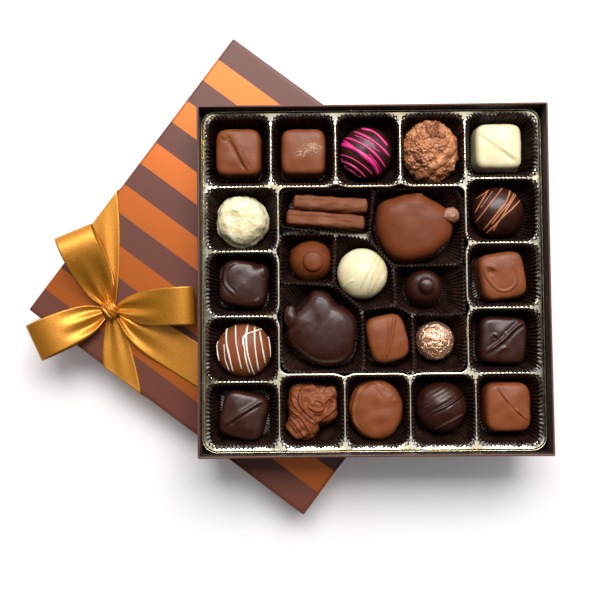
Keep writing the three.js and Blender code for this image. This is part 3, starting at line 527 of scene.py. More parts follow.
def insert_rim():
    """Rings from the lip beside the cells through a deep narrow groove to the outer lip and the skirt."""
    # (inset from the edge, height against the ridges)
    section = [(1.85, 0), (1.72, -0.12), (1.62, -0.6), (1.52, -4.5), (1.4, -9.0), (1.05, -9.0),
               (0.85, -4.5), (0.72, -0.9), (0.6, -0.55), (0.4, -0.55), (0.18, -0.9), (0.0, -1.8)]
    rings = []
    for inset, drop in section:
        half = INSERT_HALF - inset
        ring = rounded_rect(half, half, INSERT_RADIUS - inset, RIDGE_Z + drop, 11, 24)
        side = np.clip((np.abs(ring[:, 1]) / INSERT_HALF - 0.90) / 0.08, 0, 1)
        ring[:, 2] += EDGE_SAG + (EDGE_RISE - EDGE_SAG) * side * side * (3 - 2 * side)
        ring[:, :2] += INSERT_CENTRE
        rings.append(ring)
    skirt = rings[-1].copy()
    skirt[:, 2] = INSERT_BOTTOM_Z
    return np.array(rings + [skirt])


def fill_between(loops):
    """Points and upward faces of the area inside the first loop and outside the others."""
    mesh = bpy.data.meshes.new("top_fill")
    edges, at = [], 0
    for loop in loops:
        edges += [(at + j, at + (j + 1) % len(loop)) for j in range(len(loop))]
        at += len(loop)
    mesh.from_pydata(np.concatenate(loops).tolist(), edges, [])
    filler = bmesh.new()
    filler.from_mesh(mesh)
    bmesh.ops.triangle_fill(filler, use_beauty=True, use_dissolve=False, edges=filler.edges[:])
    filler.verts.index_update()
    points = np.array([v.co[:] for v in filler.verts])
    faces = []
    for face in filler.faces:
        corner = [v.index for v in face.verts]
        faces.append(corner if face.normal.z > 0 else corner[::-1])
    filler.free()
    bpy.data.meshes.remove(mesh)
    return points, faces


def build_insert():
    """One film: pockets with rounded lips, a top between them that runs to the rim, and a grooved rim."""
    pockets = [pocket(cell_outline(*cell)) for cell in ring_cells()] + [pocket(middle_outline)]
    rim = insert_rim()
    points, faces, offset = [], [], 0
    for rings in pockets + [rim]:
        count, around = rings.shape[:2]
        sheet = ring_faces(count, around, offset, first=False)
        faces += [face[::-1] for face in sheet] if rings is rim else sheet
        points += [rings.reshape(-1, 3), rings[-1].mean(axis=0)[None]]
        offset += count * around + 1
    top_points, top_faces = fill_between([rim[0]] + [rings[0] for rings in pockets])
    faces += [[k + offset for k in face] for face in top_faces]
    add_piece("gold_insert_film", np.concatenate(points + [top_points]), faces, GOLD, ["gold_insert"],
              "gold_plastic")


# Paper cups

# Where the middle cups meet each other and the compartment's walls, from the middle of the insert.
WALL, CORNER_CUT = 56.1, 3.2
MEET = {
    "left_upper": (-WALL, 28.6), "left_lower": (-WALL, -1.5), "right_upper": (WALL, 9.0),
    "right_lower": (WALL, -21.6), "top_wall": (1.5, WALL), "bottom_left": (-5.4, -WALL),
    "bottom_right": (24.5, -WALL), "stick_bonbon": (-22.3, 28.2), "stick_truffle": (-1.7, 25.3),
    "truffle_cluster": (13.0, 8.3), "bonbon_cluster": (-23.8, -2.6), "truffle_dark": (-6.2, -18.2),
    "truffle_diamond": (14.0, -15.5), "diamond_foil": (24.0, -21.0),
    "far_right_a": (WALL, WALL - CORNER_CUT), "far_right_b": (WALL - CORNER_CUT, WALL),
    "far_left_a": (CORNER_CUT - WALL, WALL), "far_left_b": (-WALL, WALL - CORNER_CUT),
    "near_left_a": (-WALL, CORNER_CUT - WALL), "near_left_b": (CORNER_CUT - WALL, -WALL),
    "near_right_a": (WALL - CORNER_CUT, -WALL), "near_right_b": (WALL, CORNER_CUT - WALL),
}
# Corners of each middle cup, anticlockwise, and how far its rim lies below the others.
MIDDLE_CUPS = {
    "milk_cluster_large": ("truffle_cluster right_upper far_right_a far_right_b top_wall "
                           "stick_truffle", 2.2),
    "milk_bonbon_button": ("bonbon_cluster stick_bonbon left_upper left_lower", 0),
    "white_truffle_lines": ("truffle_diamond truffle_cluster stick_truffle stick_bonbon bonbon_cluster "
                            "truffle_dark", 0),
    "dark_bonbon_button": ("right_lower right_upper truffle_cluster truffle_diamond diamond_foil", 0),
    "dark_cluster_large": ("bottom_left truffle_dark bonbon_cluster left_lower near_left_a "
                           "near_left_b", 2.2),
    "milk_diamond_pleat": ("bottom_right diamond_foil truffle_diamond truffle_dark bottom_left", 0),
    "foil_wrapped_ball": ("right_lower diamond_foil bottom_right near_right_a near_right_b", 0),
    "milk_sticks": ("stick_truffle top_wall far_left_a far_left_b left_upper stick_bonbon", 0),
}


def cell_around(corners, x, y, inset, power=16):
    """Radius over angle of a convex cell with softened corners, seen from a point inside it."""
    walls = []
    for (ax, ay), (bx, by) in zip(corners, corners[1:] + corners[:1]):
        length = math.hypot(bx - ax, by - ay)
        nx, ny = (by - ay) / length, (ax - bx) / length
        walls.append((nx, ny, (ax - x) * nx + (ay - y) * ny - inset))

    def outline(angle):
        facing = [np.maximum(0, (np.cos(angle) * nx + np.sin(angle) * ny) / away) ** power
                  for nx, ny, away in walls]
        return sum(facing) ** (-1 / power)
    return outline


# Rings of a cup from the floor up: share of the rise, depth of the flutes, share of the outward lean.
CUP_LEVELS = [(0.0, 0.5, 0), (0.03, 0.6, 0), (0.12, 0.75, 0), (0.3, 0.9, 0), (0.5, 1.05, 0), (0.75, 1.3, 0),
              (0.96, 1.3, 0.15), (1.0, 1.45, 1.0)]
FOOT_GAP, FLOOR_TUCK, FLOOR_PLEAT = 0.5, 0.7, 0.25


def build_cup(name, node, x, y, outline, foot, rim_z, lean, seed):
    """A fluted cup of thin paper: pleats run from the floor to a jagged rim that leans outward.

    foot is (share of the radius kept at the floor, its largest radius or radii, power of the wall's curve).
    """
    draw = np.random.default_rng(seed)
    _, length = even_angles(outline, 4)
    flutes = max(12, round(length / FLUTE_PITCH))
    count = flutes * 4
    angles, _ = even_angles(outline, count)
    jitter = draw.uniform(-0.16, 0.16, flutes) * FLUTE_PITCH / length * 2 * math.pi
    angles = angles + np.repeat(jitter, 4) * np.tile([1, 0.5, 0, 0.5], flutes)
    zigzag = np.tile([0.0, -0.5, -1.0, -0.5], flutes)
    depth = np.repeat(draw.uniform(0.75, 1.2, flutes), 4)
    sway = draw.uniform(-0.3, 0.15, flutes // 2 + 1)
    jag = np.interp(np.arange(count), np.linspace(0, count, len(sway)), sway)
    jag += np.repeat(draw.uniform(-0.2, 0.2, flutes), 4)
    r_out = outline(angles)
    reach = lean(angles, r_out)
    kept, widest, power = foot
    if not isinstance(widest, (int, float)):
        widest = freehand(widest)(angles) + FOOT_GAP
    r_foot = np.minimum(r_out * kept, widest)
    rings = []
    for skin, order in ((0, CUP_LEVELS), (PAPER, CUP_LEVELS[::-1])):
        for rise, share, leaning in order:
            on_floor = rise == 0
            r = r_out + (r_foot - r_out) * (1 - rise) ** power - FLOOR_TUCK * on_floor
            r = r - skin + zigzag * FLUTE_DEPTH * share * depth + reach * leaning
            z = CUP_BASE_Z + (rim_z - CUP_BASE_Z) * rise + jag * rise ** 3 + skin * (rise < 0.5)
            z = z - zigzag * FLOOR_PLEAT * on_floor
            rings.append(np.column_stack([x + r * np.cos(angles), y + r * np.sin(angles), z]))
    points, faces = lofted(rings)
    add_piece(name, points, faces, PAPER_BROWN, [node], "cup_paper", smooth=False)


# Pralines

def smooth_profile(profile, rows, radius=15):
    """Heights and shares from the foot to the middle of the crown, evenly spaced at the given radius."""
    height, last = profile[-1]
    controls = [[z, share * radius] for z, share in profile]
    controls += [[height + last * 0.9, last * radius / 2], [height + last * 1.2, 0.0]]
    curve = spline(controls, rows)
    return curve[:, 0], np.clip(curve[:, 1] / radius, 0.004, None)


def distance_to(path, x, y):
    """Distance from points to a path, and the share of its length at which they are nearest."""
    path = np.asarray(path, dtype=float)
    best, along = np.full(len(x), 1e9), np.zeros(len(x))
    lengths = np.linalg.norm(np.diff(path, axis=0), axis=1)
    reached = np.concatenate([[0], np.cumsum(lengths)])
    for i, (a, b) in enumerate(zip(path[:-1], path[1:])):
        step = b - a
        t = np.clip(((x - a[0]) * step[0] + (y - a[1]) * step[1]) / max(step @ step, 1e-9), 0, 1)
        d = np.hypot(x - a[0] - t * step[0], y - a[1] - t * step[1])
        near = d < best
        best = np.where(near, d, best)
        along = np.where(near, (reached[i] + t * lengths[i]) / reached[-1], along)
    return best, along


def ridge(path, width, height, skew=0.0, fade=0.12):
    """A raised (or sunken) string along a path; skew is the depth of the valleys beside it."""
    curve = spline(path, 24)

    def relief(x, y, top):
        d, along = distance_to(curve, x, y)
        ends = np.clip(along / fade, 0, 1) * np.clip((1 - along) / fade, 0, 1)
        profile = np.exp(-((d / (width / 2)) ** 2))
        valley = skew * np.exp(-(((d - width * 0.8) / (width * 0.5)) ** 2))
        return height * (profile - valley) * (0.25 + 0.75 * ends) * top
    return relief


def dent(x0, y0, radius, depth):
    """A soft hollow about a point."""
    return lambda x, y, top: -depth * np.exp(-((x - x0) ** 2 + (y - y0) ** 2) / radius ** 2) * top


def step_along(path, height, blend):
    """The surface on the left of a line stands height above that on its right."""
    (x0, y0), (x1, y1) = path
    length = math.hypot(x1 - x0, y1 - y0)

    def relief(x, y, top):
        side = ((x1 - x0) * (y - y0) - (y1 - y0) * (x - x0)) / length
        return height * (1 / (1 + np.exp(-side / blend)) - 0.5) * top
    return relief


# Ring pralines clockwise from the far left cell, with their offsets from its middle.
RING = [
    ("milk_square_fold", -0.3, 0.4), ("milk_square_crumb", 0.2, 0.3),
    ("dark_truffle_pink_lines", -0.2, 0.6), ("milk_truffle_nut_crust", 0, 0),
    ("white_square", -0.4, 0.7), ("dark_truffle_milk_lines", -0.6, 0),
    ("milk_square_curl", 0.5, -0.3), ("dark_square_cord", 0.2, 0), ("milk_square_line", 0.3, 1.0),
    ("dark_truffle_dark_lines", 0.1, 1.0), ("milk_round", -0.3, -0.2), ("milk_cluster_swirled", 0.3, -1.4),
    ("dark_square_pleat", -0.2, -0.8), ("milk_truffle_white_lines", 0.2, -0.6),
    ("dark_square_curl", 0.5, 0.3), ("white_truffle_rough", -0.3, -0.4),
]
# Middle pralines, from the middle of the insert.
MIDDLE = {
    "milk_cluster_large": (26.8, 32.4), "milk_bonbon_button": (-37.6, 13.4),
    "white_truffle_lines": (-5.6, 4.4), "dark_bonbon_button": (32.4, -5.4),
    "dark_cluster_large": (-31.0, -28.9), "milk_diamond_pleat": (9.0, -35.6),
    "foil_wrapped_ball": (38.6, -37.4), "milk_sticks": (-28.0, 42.0),
    "milk_stick_far": (-24.9, 47.4), "milk_stick_near": (-28.0, 37.6),
}
SPOTS = {name: (x + INSERT_CENTRE[0], y + INSERT_CENTRE[1]) for name, (x, y) in MIDDLE.items()}
SPOTS |= {name: (x + dx, y + dy) for (name, dx, dy), (x, y, _, _) in zip(RING, ring_cells())}
COUVERTURE = {"milk": MILK, "dark": DARK, "white": WHITE}


class Body:
    """A dipped body: an outline scaled ring by ring along a profile, with relief along its normals."""

    def __init__(self, node, outline, profile, turn=0.0, lean=(0, 0), spot=None):
        self.node, self.outline, self.profile = node, outline, profile
        self.spot = spot or SPOTS[node]
        self.turn, self.lean = math.radians(turn), lean
        self.height = profile[-1][0]
        self.kind = node.split("_")[0]
        self.slot = f"{self.kind}_chocolate"
        zs, shares = smooth_profile(profile, 60)
        widest = int(np.argmax(shares))
        self.top_shares, self.top_z = shares[widest:][::-1], zs[widest:][::-1]

    def top_height(self, x, y):
        """Height of the crown above points, in the body's own axes."""
        share = np.hypot(x, y) / self.outline(np.arctan2(y, x))
        return np.interp(share, self.top_shares, self.top_z)

    def to_box(self, points):
        """Points leaned, turned and moved to the body's spot in the box."""
        leaned = points[..., :2] + points[..., 2:] / self.height * self.lean
        return np.concatenate([turned(leaned, self.turn) + self.spot, points[..., 2:] + SEAT_Z], axis=-1)

    def grid(self, rows, columns):
        """Points ring by ring from the foot to the crown, with their normals."""
        zs, shares = smooth_profile(self.profile, rows)
        angles, _ = even_angles(self.outline, columns)
        r = self.outline(angles)[None] * shares[:, None]
        points = np.stack([r * np.cos(angles), r * np.sin(angles), np.repeat(zs[:, None], columns, 1)], -1)
        around = np.roll(points, -1, 1) - np.roll(points, 1, 1)
        up = np.gradient(points, axis=0)
        normals = unit(np.cross(around, up))
        normals[-1] = (0, 0, 1)
        return points, normals

    def build(self, name, reliefs=(), material=None, slot=None, wobble=0.09, wobble_size=9, seed=1,
              extra=None, rows=46, columns=132):
        """The body's piece. reliefs take x, y and how far a point faces up; extra takes whole points."""
        points, normals = self.grid(rows, columns)
        flat = points.reshape(-1, 3)
        top = np.clip((normals[..., 2].reshape(-1) + 0.15) / 0.6, 0, 1)
        smooth_foot = 1.5
        push = waves(flat, wobble_size, seed) * wobble
        for relief in reliefs:
            push = push + relief(flat[:, 0], flat[:, 1], top)
        if extra is not None:
            push = push + extra(flat)
        push *= np.clip(flat[:, 2] / smooth_foot, 0, 1)
        moved = flat + normals.reshape(-1, 3) * push[:, None]
        points_out, faces = lofted(self.to_box(moved).reshape(points.shape))
        material = material or COUVERTURE[self.kind]
        return add_piece(name, points_out, faces, material, [self.node], slot or self.slot)

    def strands(self, name, lines, material, seed=3):
        """Drizzle on the crown. lines are (path of [x, y], width in mm)."""
        draw = np.random.default_rng(seed)
        crest, sunk = 0.5, 0.35
        all_points, all_faces, offset = [], [], 0
        for path, width in lines:
            curve = spline(path, max(14, int(len(path) * 9)))
            share = np.hypot(curve[:, 0], curve[:, 1]) / self.outline(np.arctan2(curve[:, 1], curve[:, 0]))
            curve = curve / np.maximum(share / 0.985, 1)[:, None]
            z = self.top_height(curve[:, 0], curve[:, 1])
            centre = np.column_stack([curve, z])
            along = unit(np.gradient(centre, axis=0))
            outward = unit(np.column_stack([curve, np.maximum(z - self.height * 0.35, 0.5) * 1.15]))
            side = unit(np.cross(along, outward))
            outward = np.cross(side, along)
            at = np.linspace(0, 1, len(curve))
            breadth = width * (1 + 0.18 * np.sin(at * draw.uniform(6, 14) + draw.uniform(0, 6)))
            breadth *= np.clip(np.minimum(at, 1 - at) / 0.06, 0.25, 1) ** 0.5
            rings = []
            for a in np.linspace(0, 2 * math.pi, 9)[:-1]:
                rise = math.sin(a) * (crest if math.sin(a) > 0 else sunk)
                rings.append(centre + side * (math.cos(a) * breadth / 2)[:, None]
                             + outward * (rise * breadth ** 0.7)[:, None])
            rings = np.stack(rings, 1)
            points, faces = lofted(self.to_box(rings))
            all_faces += [tuple(i + offset for i in f) for f in faces]
            all_points.append(points)
            offset += len(points)
        add_piece(name, np.concatenate(all_points), all_faces, material, [self.node], self.slot)


def square_profile(height):
    steps = [(0, 0.93), (0.05, 0.97), (0.14, 1), (0.7, 0.975), (0.86, 0.93), (0.95, 0.83), (0.995, 0.6)]
    return [[height * rise, share] for rise, share in steps]


def ball_profile(height, belly=0.4, foot=0.78):
    """[z, share] of a truffle whose widest ring is at belly times its height."""
    rows = [[0, foot]]
    for a in np.linspace(-48, 82, 12):
        lift = height * belly * 1.25 if a < 0 else height * (1 - belly)
        z = height * belly + lift * math.sin(math.radians(a))
        if z > 0.3:
            rows.append([z, math.cos(math.radians(a))])
    return rows


def lumps(seed, count, spread, size, height, flatness):
    """Chopped bits under the skin: bumps at random places of a ball. spread is its radius and height."""
    draw = np.random.default_rng(seed)
    heading = unit(draw.normal(size=(count, 3)))
    heading[:, 2] = np.abs(heading[:, 2])
    sizes = draw.uniform(0.55, 1.35, count) * size

    def extra(points):
        centre = np.array([0, 0, spread[1] * 0.35])
        rays = unit((points - centre) / np.array([spread[0], spread[0], spread[1] * 0.65]))
        push = np.zeros(len(points))
        for ray, bit in zip(heading, sizes):
            d = np.linalg.norm(rays - ray, axis=1) * spread[0] / bit
            push = np.maximum(push, height * bit / size * np.clip(1 - d ** flatness, 0, 1) ** 0.6)
        return push
    return extra


MILK_PATTY = [24.6, 24.4, 22.8, 21.5, 22.3, 22.2, 23.2, 26.2, 25.4,
              24.5, 24.0, 24.4, 23.8, 22.4, 20.8, 20.8, 22.3, 24.0]
DARK_PATTY = [22.8, 22.0, 20.0, 18.4, 22.8, 24.8, 20.2, 19.3, 21.2,
              22.2, 23.2, 22.4, 22.6, 23.6, 24.9, 26.6, 25.9, 23.8]
SWIRLED = [14.8, 15.3, 16.8, 20.4, 17.4, 16.2, 16.6, 17.6, 18.8, 19.0, 16.6, 15.0,
           14.5, 14.6, 18.4, 19.2, 18.8, 17.4, 16.0, 11.8, 8.6, 10.0, 12.0, 14.2]
PATTY_PROFILE = [[0, 0.86], [1.2, 0.92], [3.2, 0.96], [7, 0.965], [11, 0.93], [14, 0.85], [16.2, 0.7],
                 [17.3, 0.45]]


# Squares: half sizes and power of the outline, height, turn in degrees, and relief.
SQUARES = {
    "milk_square_fold": ((14.2, 15.0, 5), 16.5, 0, [
        ridge([(-8.6, 8.6), (-6.2, 9.8), (-3.8, 8.0), (0.8, -0.8), (4.0, -7.4), (6.2, -11.2)],
              1.6, 1.15, skew=0.3),
        ridge([(-7.8, 6.4), (-5.0, 5.4), (-1.2, -1.6), (3.6, -10.4)], 1.8, -0.85),
        ridge([(-6.0, 7.6), (-3.6, 5.0), (0.6, -3.4), (4.8, -10.8)], 1.1, 0.5),
        ridge([(-10.0, 9.6), (-7.4, 8.6)], 3.0, 0.5)]),
    "milk_square_crumb": ((13.9, 14.7, 5), 16.5, 0, [
        dent(3, -10, 7, 0.3)]),
    "white_square": ((14.6, 14.4, 5), 17, 0, [
        step_along([(-13.9, 9.3), (11.1, -8.1)], -0.7, 1.1),
        ridge([(-13.0, 8.8), (-7.8, 5.1), (-0.2, -0.9), (7.3, -6.0), (12.0, -8.6)], 2.6, 0.75),
        ridge([(0.5, -3.4), (5.0, -7.2), (9.5, -10.4)], 2.4, -0.4)]),
    "milk_square_curl": ((14.2, 14.8, 4.4), 17.5, 8, [
        ridge([(-10.4, 5.2), (-10.2, 0.6), (-7.6, -4.6), (-4.0, -8.4), (0.2, -9.3), (4.6, -7.6),
               (7.4, -3.6), (7.6, 1.6), (6.6, 6.4)], 1.25, 0.85, skew=0.3),
        dent(-7.4, 3.4, 1.5, 1.3), dent(-1.0, -1.5, 6.5, 0.5),
        ridge([(-9.6, 6.8), (-6.4, 6.4), (-4.4, 4.2)], 2.0, 0.7)]),
    "dark_square_cord": ((14.7, 14.6, 5), 16, -3, [
        ridge([(-9.8, -6.9), (-4.4, -3.0), (0.6, 1.6), (6.6, 8.0), (13.0, 12.6)], 2.3, 0.9, skew=0.4),
        ridge([(-7.4, 1.0), (-5.6, 3.2), (-4.0, 1.2)], 1.5, 0.6),
        ridge([(0.2, 4.0), (1.6, 5.0)], 1.3, 0.5),
        ridge([(-3.4, -7.8), (-1.0, -5.0), (2.0, -4.6)], 1.6, 0.55),
        dent(-5.8, 1.6, 1.0, 0.6)]),
    "milk_square_line": ((14.0, 15.2, 4.6), 17, 0, [
        ridge([(-7.8, 13.0), (-4.9, 8.0), (0.4, 1.1), (4.9, -3.4), (9.8, -7.6)], 0.9, -0.7),
        ridge([(3.8, -1.2), (7.4, -4.2), (11.0, -7.4)], 1.7, 0.75),
        ridge([(-6.8, 13.2), (-4.0, 8.2), (1.0, 2.2)], 1.1, 0.35)]),
    "dark_square_pleat": ((14.2, 14.6, 4.2), 16.5, -13, [
        ridge([(-10.4, -8.4), (-6.0, -3.4), (-0.6, 2.0), (4.6, 7.0), (9.6, 11.6)], 3.2, 0.95),
        ridge([(-7.6, -7.6), (-2.4, -2.0), (3.4, 3.8), (9.2, 9.4)], 1.6, -0.65)]),
    "dark_square_curl": ((15.0, 14.4, 4), 17, -8, [
        ridge([(-5.4, 13.0), (-10.0, 9.2), (-12.2, 3.8), (-10.6, -2.2), (-4.4, -7.4)], 1.3, 0.9, skew=0.35),
        ridge([(-9.0, 12.2), (-6.0, 13.8)], 1.3, 0.5), dent(6.4, 12.6, 2.6, 1.5), dent(-1.5, 4, 6.5, 0.5),
        ridge([(10.4, 12.0), (11.4, 6.0)], 2.0, 0.5),
        ridge([(8.4, -10.6), (10.8, -8.2)], 1.8, 0.6)]),
    "milk_diamond_pleat": ((12.3, 14.6, 3.6), 16.5, 13, [
        ridge([(7.0, 12.6), (4.2, 6.0), (0.4, -3.0), (-5.0, -11.6)], 1.9, 0.9),
        ridge([(3.8, 12.6), (1.8, 5.4), (-1.6, -2.8), (-6.4, -10.6)], 1.3, 0.45),
        ridge([(5.6, 12.4), (3.0, 5.6), (-0.6, -3.0), (-5.8, -11.2)], 0.9, -0.5)]),
}


def build_squares():
    for seed, (node, (outline, height, turn, reliefs)) in enumerate(SQUARES.items(), 11):
        body = Body(node, superellipse(*outline), square_profile(height), turn)
        body.build(f"{node}_body", reliefs, seed=seed)
        if node == "milk_square_crumb":
            build_crumbs(body)


def build_crumbs(body):
    """Salt and caramel crumbs scattered on a square, as small cut polyhedra."""
    draw = np.random.default_rng(21)
    directions = np.array([(1, 0, 0), (0, 1, 0), (-1, 0, 0), (0, -1, 0), (0, 0, 1), (0, 0, -1)], float)
    faces = [(0, 1, 4), (1, 2, 4), (2, 3, 4), (3, 0, 4), (1, 0, 5), (2, 1, 5), (3, 2, 5), (0, 3, 5)]
    scattered, half_x, half_y = 230, 13.2, 12.5
    all_points, all_faces = [], []
    for _ in range(scattered):
        t, s = draw.normal(0, 0.36), draw.normal(0, 0.38)
        x, y = 4.6 + t * 10.0 - s * 1.6, 1.0 + t * 4.2 + s * 4.2
        if abs(x) > half_x or abs(y) > half_y:
            continue
        size = draw.uniform(0.16, 0.52)
        z = float(body.top_height(np.array([x]), np.array([y]))[0])
        bit = directions * size * draw.uniform(0.6, 1.3, (6, 1))
        bit[:, :2] = turned(bit[:, :2], draw.uniform(0, 6.28))
        offset = len(all_points) * len(directions)
        all_points.append(body.to_box(bit + (x, y, z + size * 0.2)))
        all_faces += [tuple(k + offset for k in f) for f in faces]
    add_piece("caramel_crumbs", np.concatenate(all_points), all_faces, CRUMB, [body.node], body.slot,
              smooth=False)


def build_pink_lined_truffle():
    body = Body("dark_truffle_pink_lines", lobed(16.1), ball_profile(19.6))
    body.build("pink_lined_truffle_body", seed=31)
    body.strands("pink_drizzle_lines", [
        ([(-3.2, 13.6), (4.6, 10.7), (12.6, 2.4)], 1.9), ([(-7.9, 12.0), (4.0, 4.4), (14.0, -4.0)], 1.7),
        ([(-7.7, 9.3), (0.0, 4.6), (4.0, 0.2), (7.8, -2.0)], 0.7),
        ([(-13.4, 8.7), (-4.0, 3.2), (4.0, -2.8), (11.4, -10.4)], 1.5),
        ([(-16.0, 5.0), (-8.1, 0.2), (-1.3, -5.1), (4.0, -9.8), (7.4, -15.0)], 2.9),
        ([(0.6, -3.4), (5.2, -8.2), (9.0, -13.0)], 0.8), ([(-14.4, 7.4), (-12.0, 4.4), (-9.0, 1.8)], 1.6),
        ([(-17.2, -1.1), (-8.1, -6.1), (3.6, -14.6)], 0.8),
        ([(-17.5, -4.5), (-9.6, -9.1), (-0.4, -16.0)], 1.3),
        ([(-14.6, -8.4), (-8.9, -12.4), (-3.4, -16.6)], 0.7)], PINK_LINE)


def build_milk_lined_truffle():
    body = Body("dark_truffle_milk_lines", lobed(15.9), ball_profile(19.4))
    body.build("milk_lined_truffle_body", seed=32)
    body.strands("milk_drizzle_lines", [
        ([(-6.1, 13.4), (-11.4, 5.5), (-14.8, -1.0)], 0.75), ([(-4.2, 12.3), (-12.1, 1.7)], 0.45),
        ([(2.3, 14.5), (-5.3, 5.5), (-10.6, -1.4), (-14.4, -6.7)], 0.9),
        ([(7.2, 13.0), (2.3, 3.9), (-3.4, -2.9), (-9.8, -11.6)], 1.15),
        ([(9.5, 11.5), (4.5, 3.9), (-0.8, -2.1), (-6.1, -8.9)], 0.9),
        ([(11.0, 11.1), (4.5, 2.4), (-1.5, -6.7), (-8.3, -13.9)], 1.05),
        ([(13.2, 7.0), (6.1, 0.2), (-0.8, -5.9), (-4.5, -12.7)], 0.9),
        ([(-13.4, 8.4), (-9.0, 11.0), (-6.4, 13.0)], 0.5)], MILK_LINE, seed=4)


def build_dark_lined_truffle():
    body = Body("dark_truffle_dark_lines", lobed(15.6), ball_profile(19.2))
    fine = []
    for k in range(-2, 4):
        path = [(-13.2 + k * 0.9, 1.4 - k * 2.1), (-2 + k * 0.9, 7.4 - k * 2.2),
                (9 + k * 0.7, 13.2 - k * 2.2)]
        fine.append(ridge(path, 0.9, 0.28 if k % 2 else 0.16))
    body.build("dark_lined_truffle_body", fine + [
        ridge([(-7.2, -2.6), (2.6, 2.4), (12.6, 8.4)], 1.5, 0.75, skew=0.4),
        ridge([(-5.2, -13.2), (2.6, -8.9), (9.4, -5.6), (14.0, -3.2)], 1.3, 0.8, skew=0.4),
        ridge([(-9.0, -0.6), (0.4, 4.6), (9.6, 10.0)], 1.0, 0.4)],
        wobble=0.1, seed=33, rows=60, columns=168)


def build_white_lined_truffle():
    body = Body("milk_truffle_white_lines", lobed(16.8, 0.01), ball_profile(19.6))
    body.build("white_lined_truffle_body", [
        ridge([(-2.6, 15.0), (-1.0, 8.0), (0.8, 0.0)], 1.2, 0.4)], seed=34)
    body.strands("white_drizzle_lines", [
        ([(-16.6, 6.0), (-16.2, -0.6), (-15.0, -6.6)], 1.0),
        ([(-10.6, 14.6), (-10.2, 5.5), (-8.7, -2.1), (-6.4, -13.0)], 1.15),
        ([(-11.7, 3.9), (-11.0, -5.1), (-8.8, -12.6)], 0.6),
        ([(-4.9, 16.0), (-4.2, 5.5), (-2.6, -3.6), (-1.1, -11.4)], 0.8),
        ([(2.6, 15.8), (1.9, 8.5), (2.6, -0.6), (4.5, -8.9), (6.4, -15.6)], 1.1),
        ([(0.0, 7.7), (0.8, 0.9), (1.9, -6.7), (3.8, -14.2)], 0.9),
        ([(6.8, 14.8), (7.0, 5.5), (7.9, -3.6), (9.1, -13.0)], 0.95),
        ([(9.8, 11.8), (11.4, 2.4), (13.2, -8.6)], 0.95), ([(14.9, 8.4), (15.9, 1.7), (16.2, -4.6)], 0.9),
        ([(12.1, 13.4), (6.8, 11.5), (2.6, 10.0), (0.4, 8.1), (0.0, 3.9), (1.4, 0.4)], 0.95)],
        WHITE_LINE, seed=5)


def build_white_ball_truffle():
    body = Body("white_truffle_lines", lobed(15.6), ball_profile(19.6))
    body.build("white_ball_truffle_body", [
        ridge([(-12.0, -9.0), (-8.4, -5.6), (-5.6, -4.6)], 1.4, 0.35)], seed=35)
    body.strands("cream_drizzle_lines", [
        ([(7.4, 8.6), (2.8, 0.4), (-1.9, -9.2)], 0.8), ([(11.0, 8.8), (6.4, 0.0), (2.4, -10.6)], 0.8),
        ([(13.6, 5.4), (8.4, -3.4), (3.6, -12.6)], 0.7), ([(15.0, 1.4), (10.4, -6.4), (6.6, -12.6)], 0.6),
        ([(9.6, 11.4), (5.0, 4.4)], 0.5), ([(13.8, 8.0), (8.0, -1.0)], 0.4)],
        CREAM_LINE, seed=6)


def build_rough_white_truffle():
    body = Body("white_truffle_rough", lobed(16.2, 0.0, [(3, 0.35, 10), (5, 0.3, 60)]),
                [[0, 0.86], [2, 0.96], [5, 1.0], [8.0, 0.985], [9.6, 0.93], [12.5, 0.89], [15.4, 0.8],
                 [17.4, 0.66], [18.5, 0.4]], lean=(-0.9, 1.0))
    rough = lumps(41, 620, (16, 18), 1.25, 0.3, 1.8)
    body.build("rough_white_truffle_body", [
        dent(-3.5, 1.0, 3.2, 1.1), ridge([(-8.0, 4.4), (-4.0, 5.4), (-0.6, 3.8), (1.0, 0.4)], 2.2, 0.8),
        ridge([(-6.4, -0.8), (-3.4, -2.0), (-0.4, -1.2)], 1.6, 0.6),
        ridge([(6.4, 2.4), (8.4, 0.0)], 1.8, 0.6)],
        wobble=0.30, wobble_size=6.5, seed=36, extra=rough, rows=72, columns=190)


def build_nut_crusted_truffle():
    body = Body("milk_truffle_nut_crust", superellipse(16.7, 18.7, 2),
                [[0, 0.84], [1.2, 0.93], [2.6, 0.965], [4.6, 0.97], [6.0, 0.945], [7.2, 0.95],
                 [10.5, 0.965], [14.0, 0.87], [16.8, 0.68], [18.6, 0.42], [19.4, 0.2]], lean=(-0.4, 1.2))
    crust = lumps(42, 1300, (16.5, 19), 0.85, 0.9, 1.3)
    band = spline([(13.0, 13.4), (14.6, 6.8), (11.6, -1.2), (5.3, -8.0), (-1.5, -13.4), (-7.4, -16.0)], 40)

    def crusted(points):
        d, _ = distance_to(band, points[:, 0], points[:, 1])
        smooth_band = np.exp(-(d / 1.7) ** 2)
        inside = np.exp(-((d - 3.0) / 1.1) ** 2) * (points[:, 1] + points[:, 0] * 0.4 < 14)
        bits = crust(points) * (1 - smooth_band) + 0.9 * smooth_band
        return 0.4 + bits - 0.7 * inside * (points[:, 2] > 6)

    body.build("nut_crusted_truffle_body", [
        ridge([(-2.6, 15.5), (-2.2, 11.0), (-0.8, 6.0)], 2.4, 1.5),
        ridge([(3.0, 4.6), (8.0, 2.0), (10.0, 6.4)], 2.2, 0.7)],
        material=NUT_MILK, wobble=0.5, wobble_size=6, seed=37, extra=crusted, rows=110, columns=300)


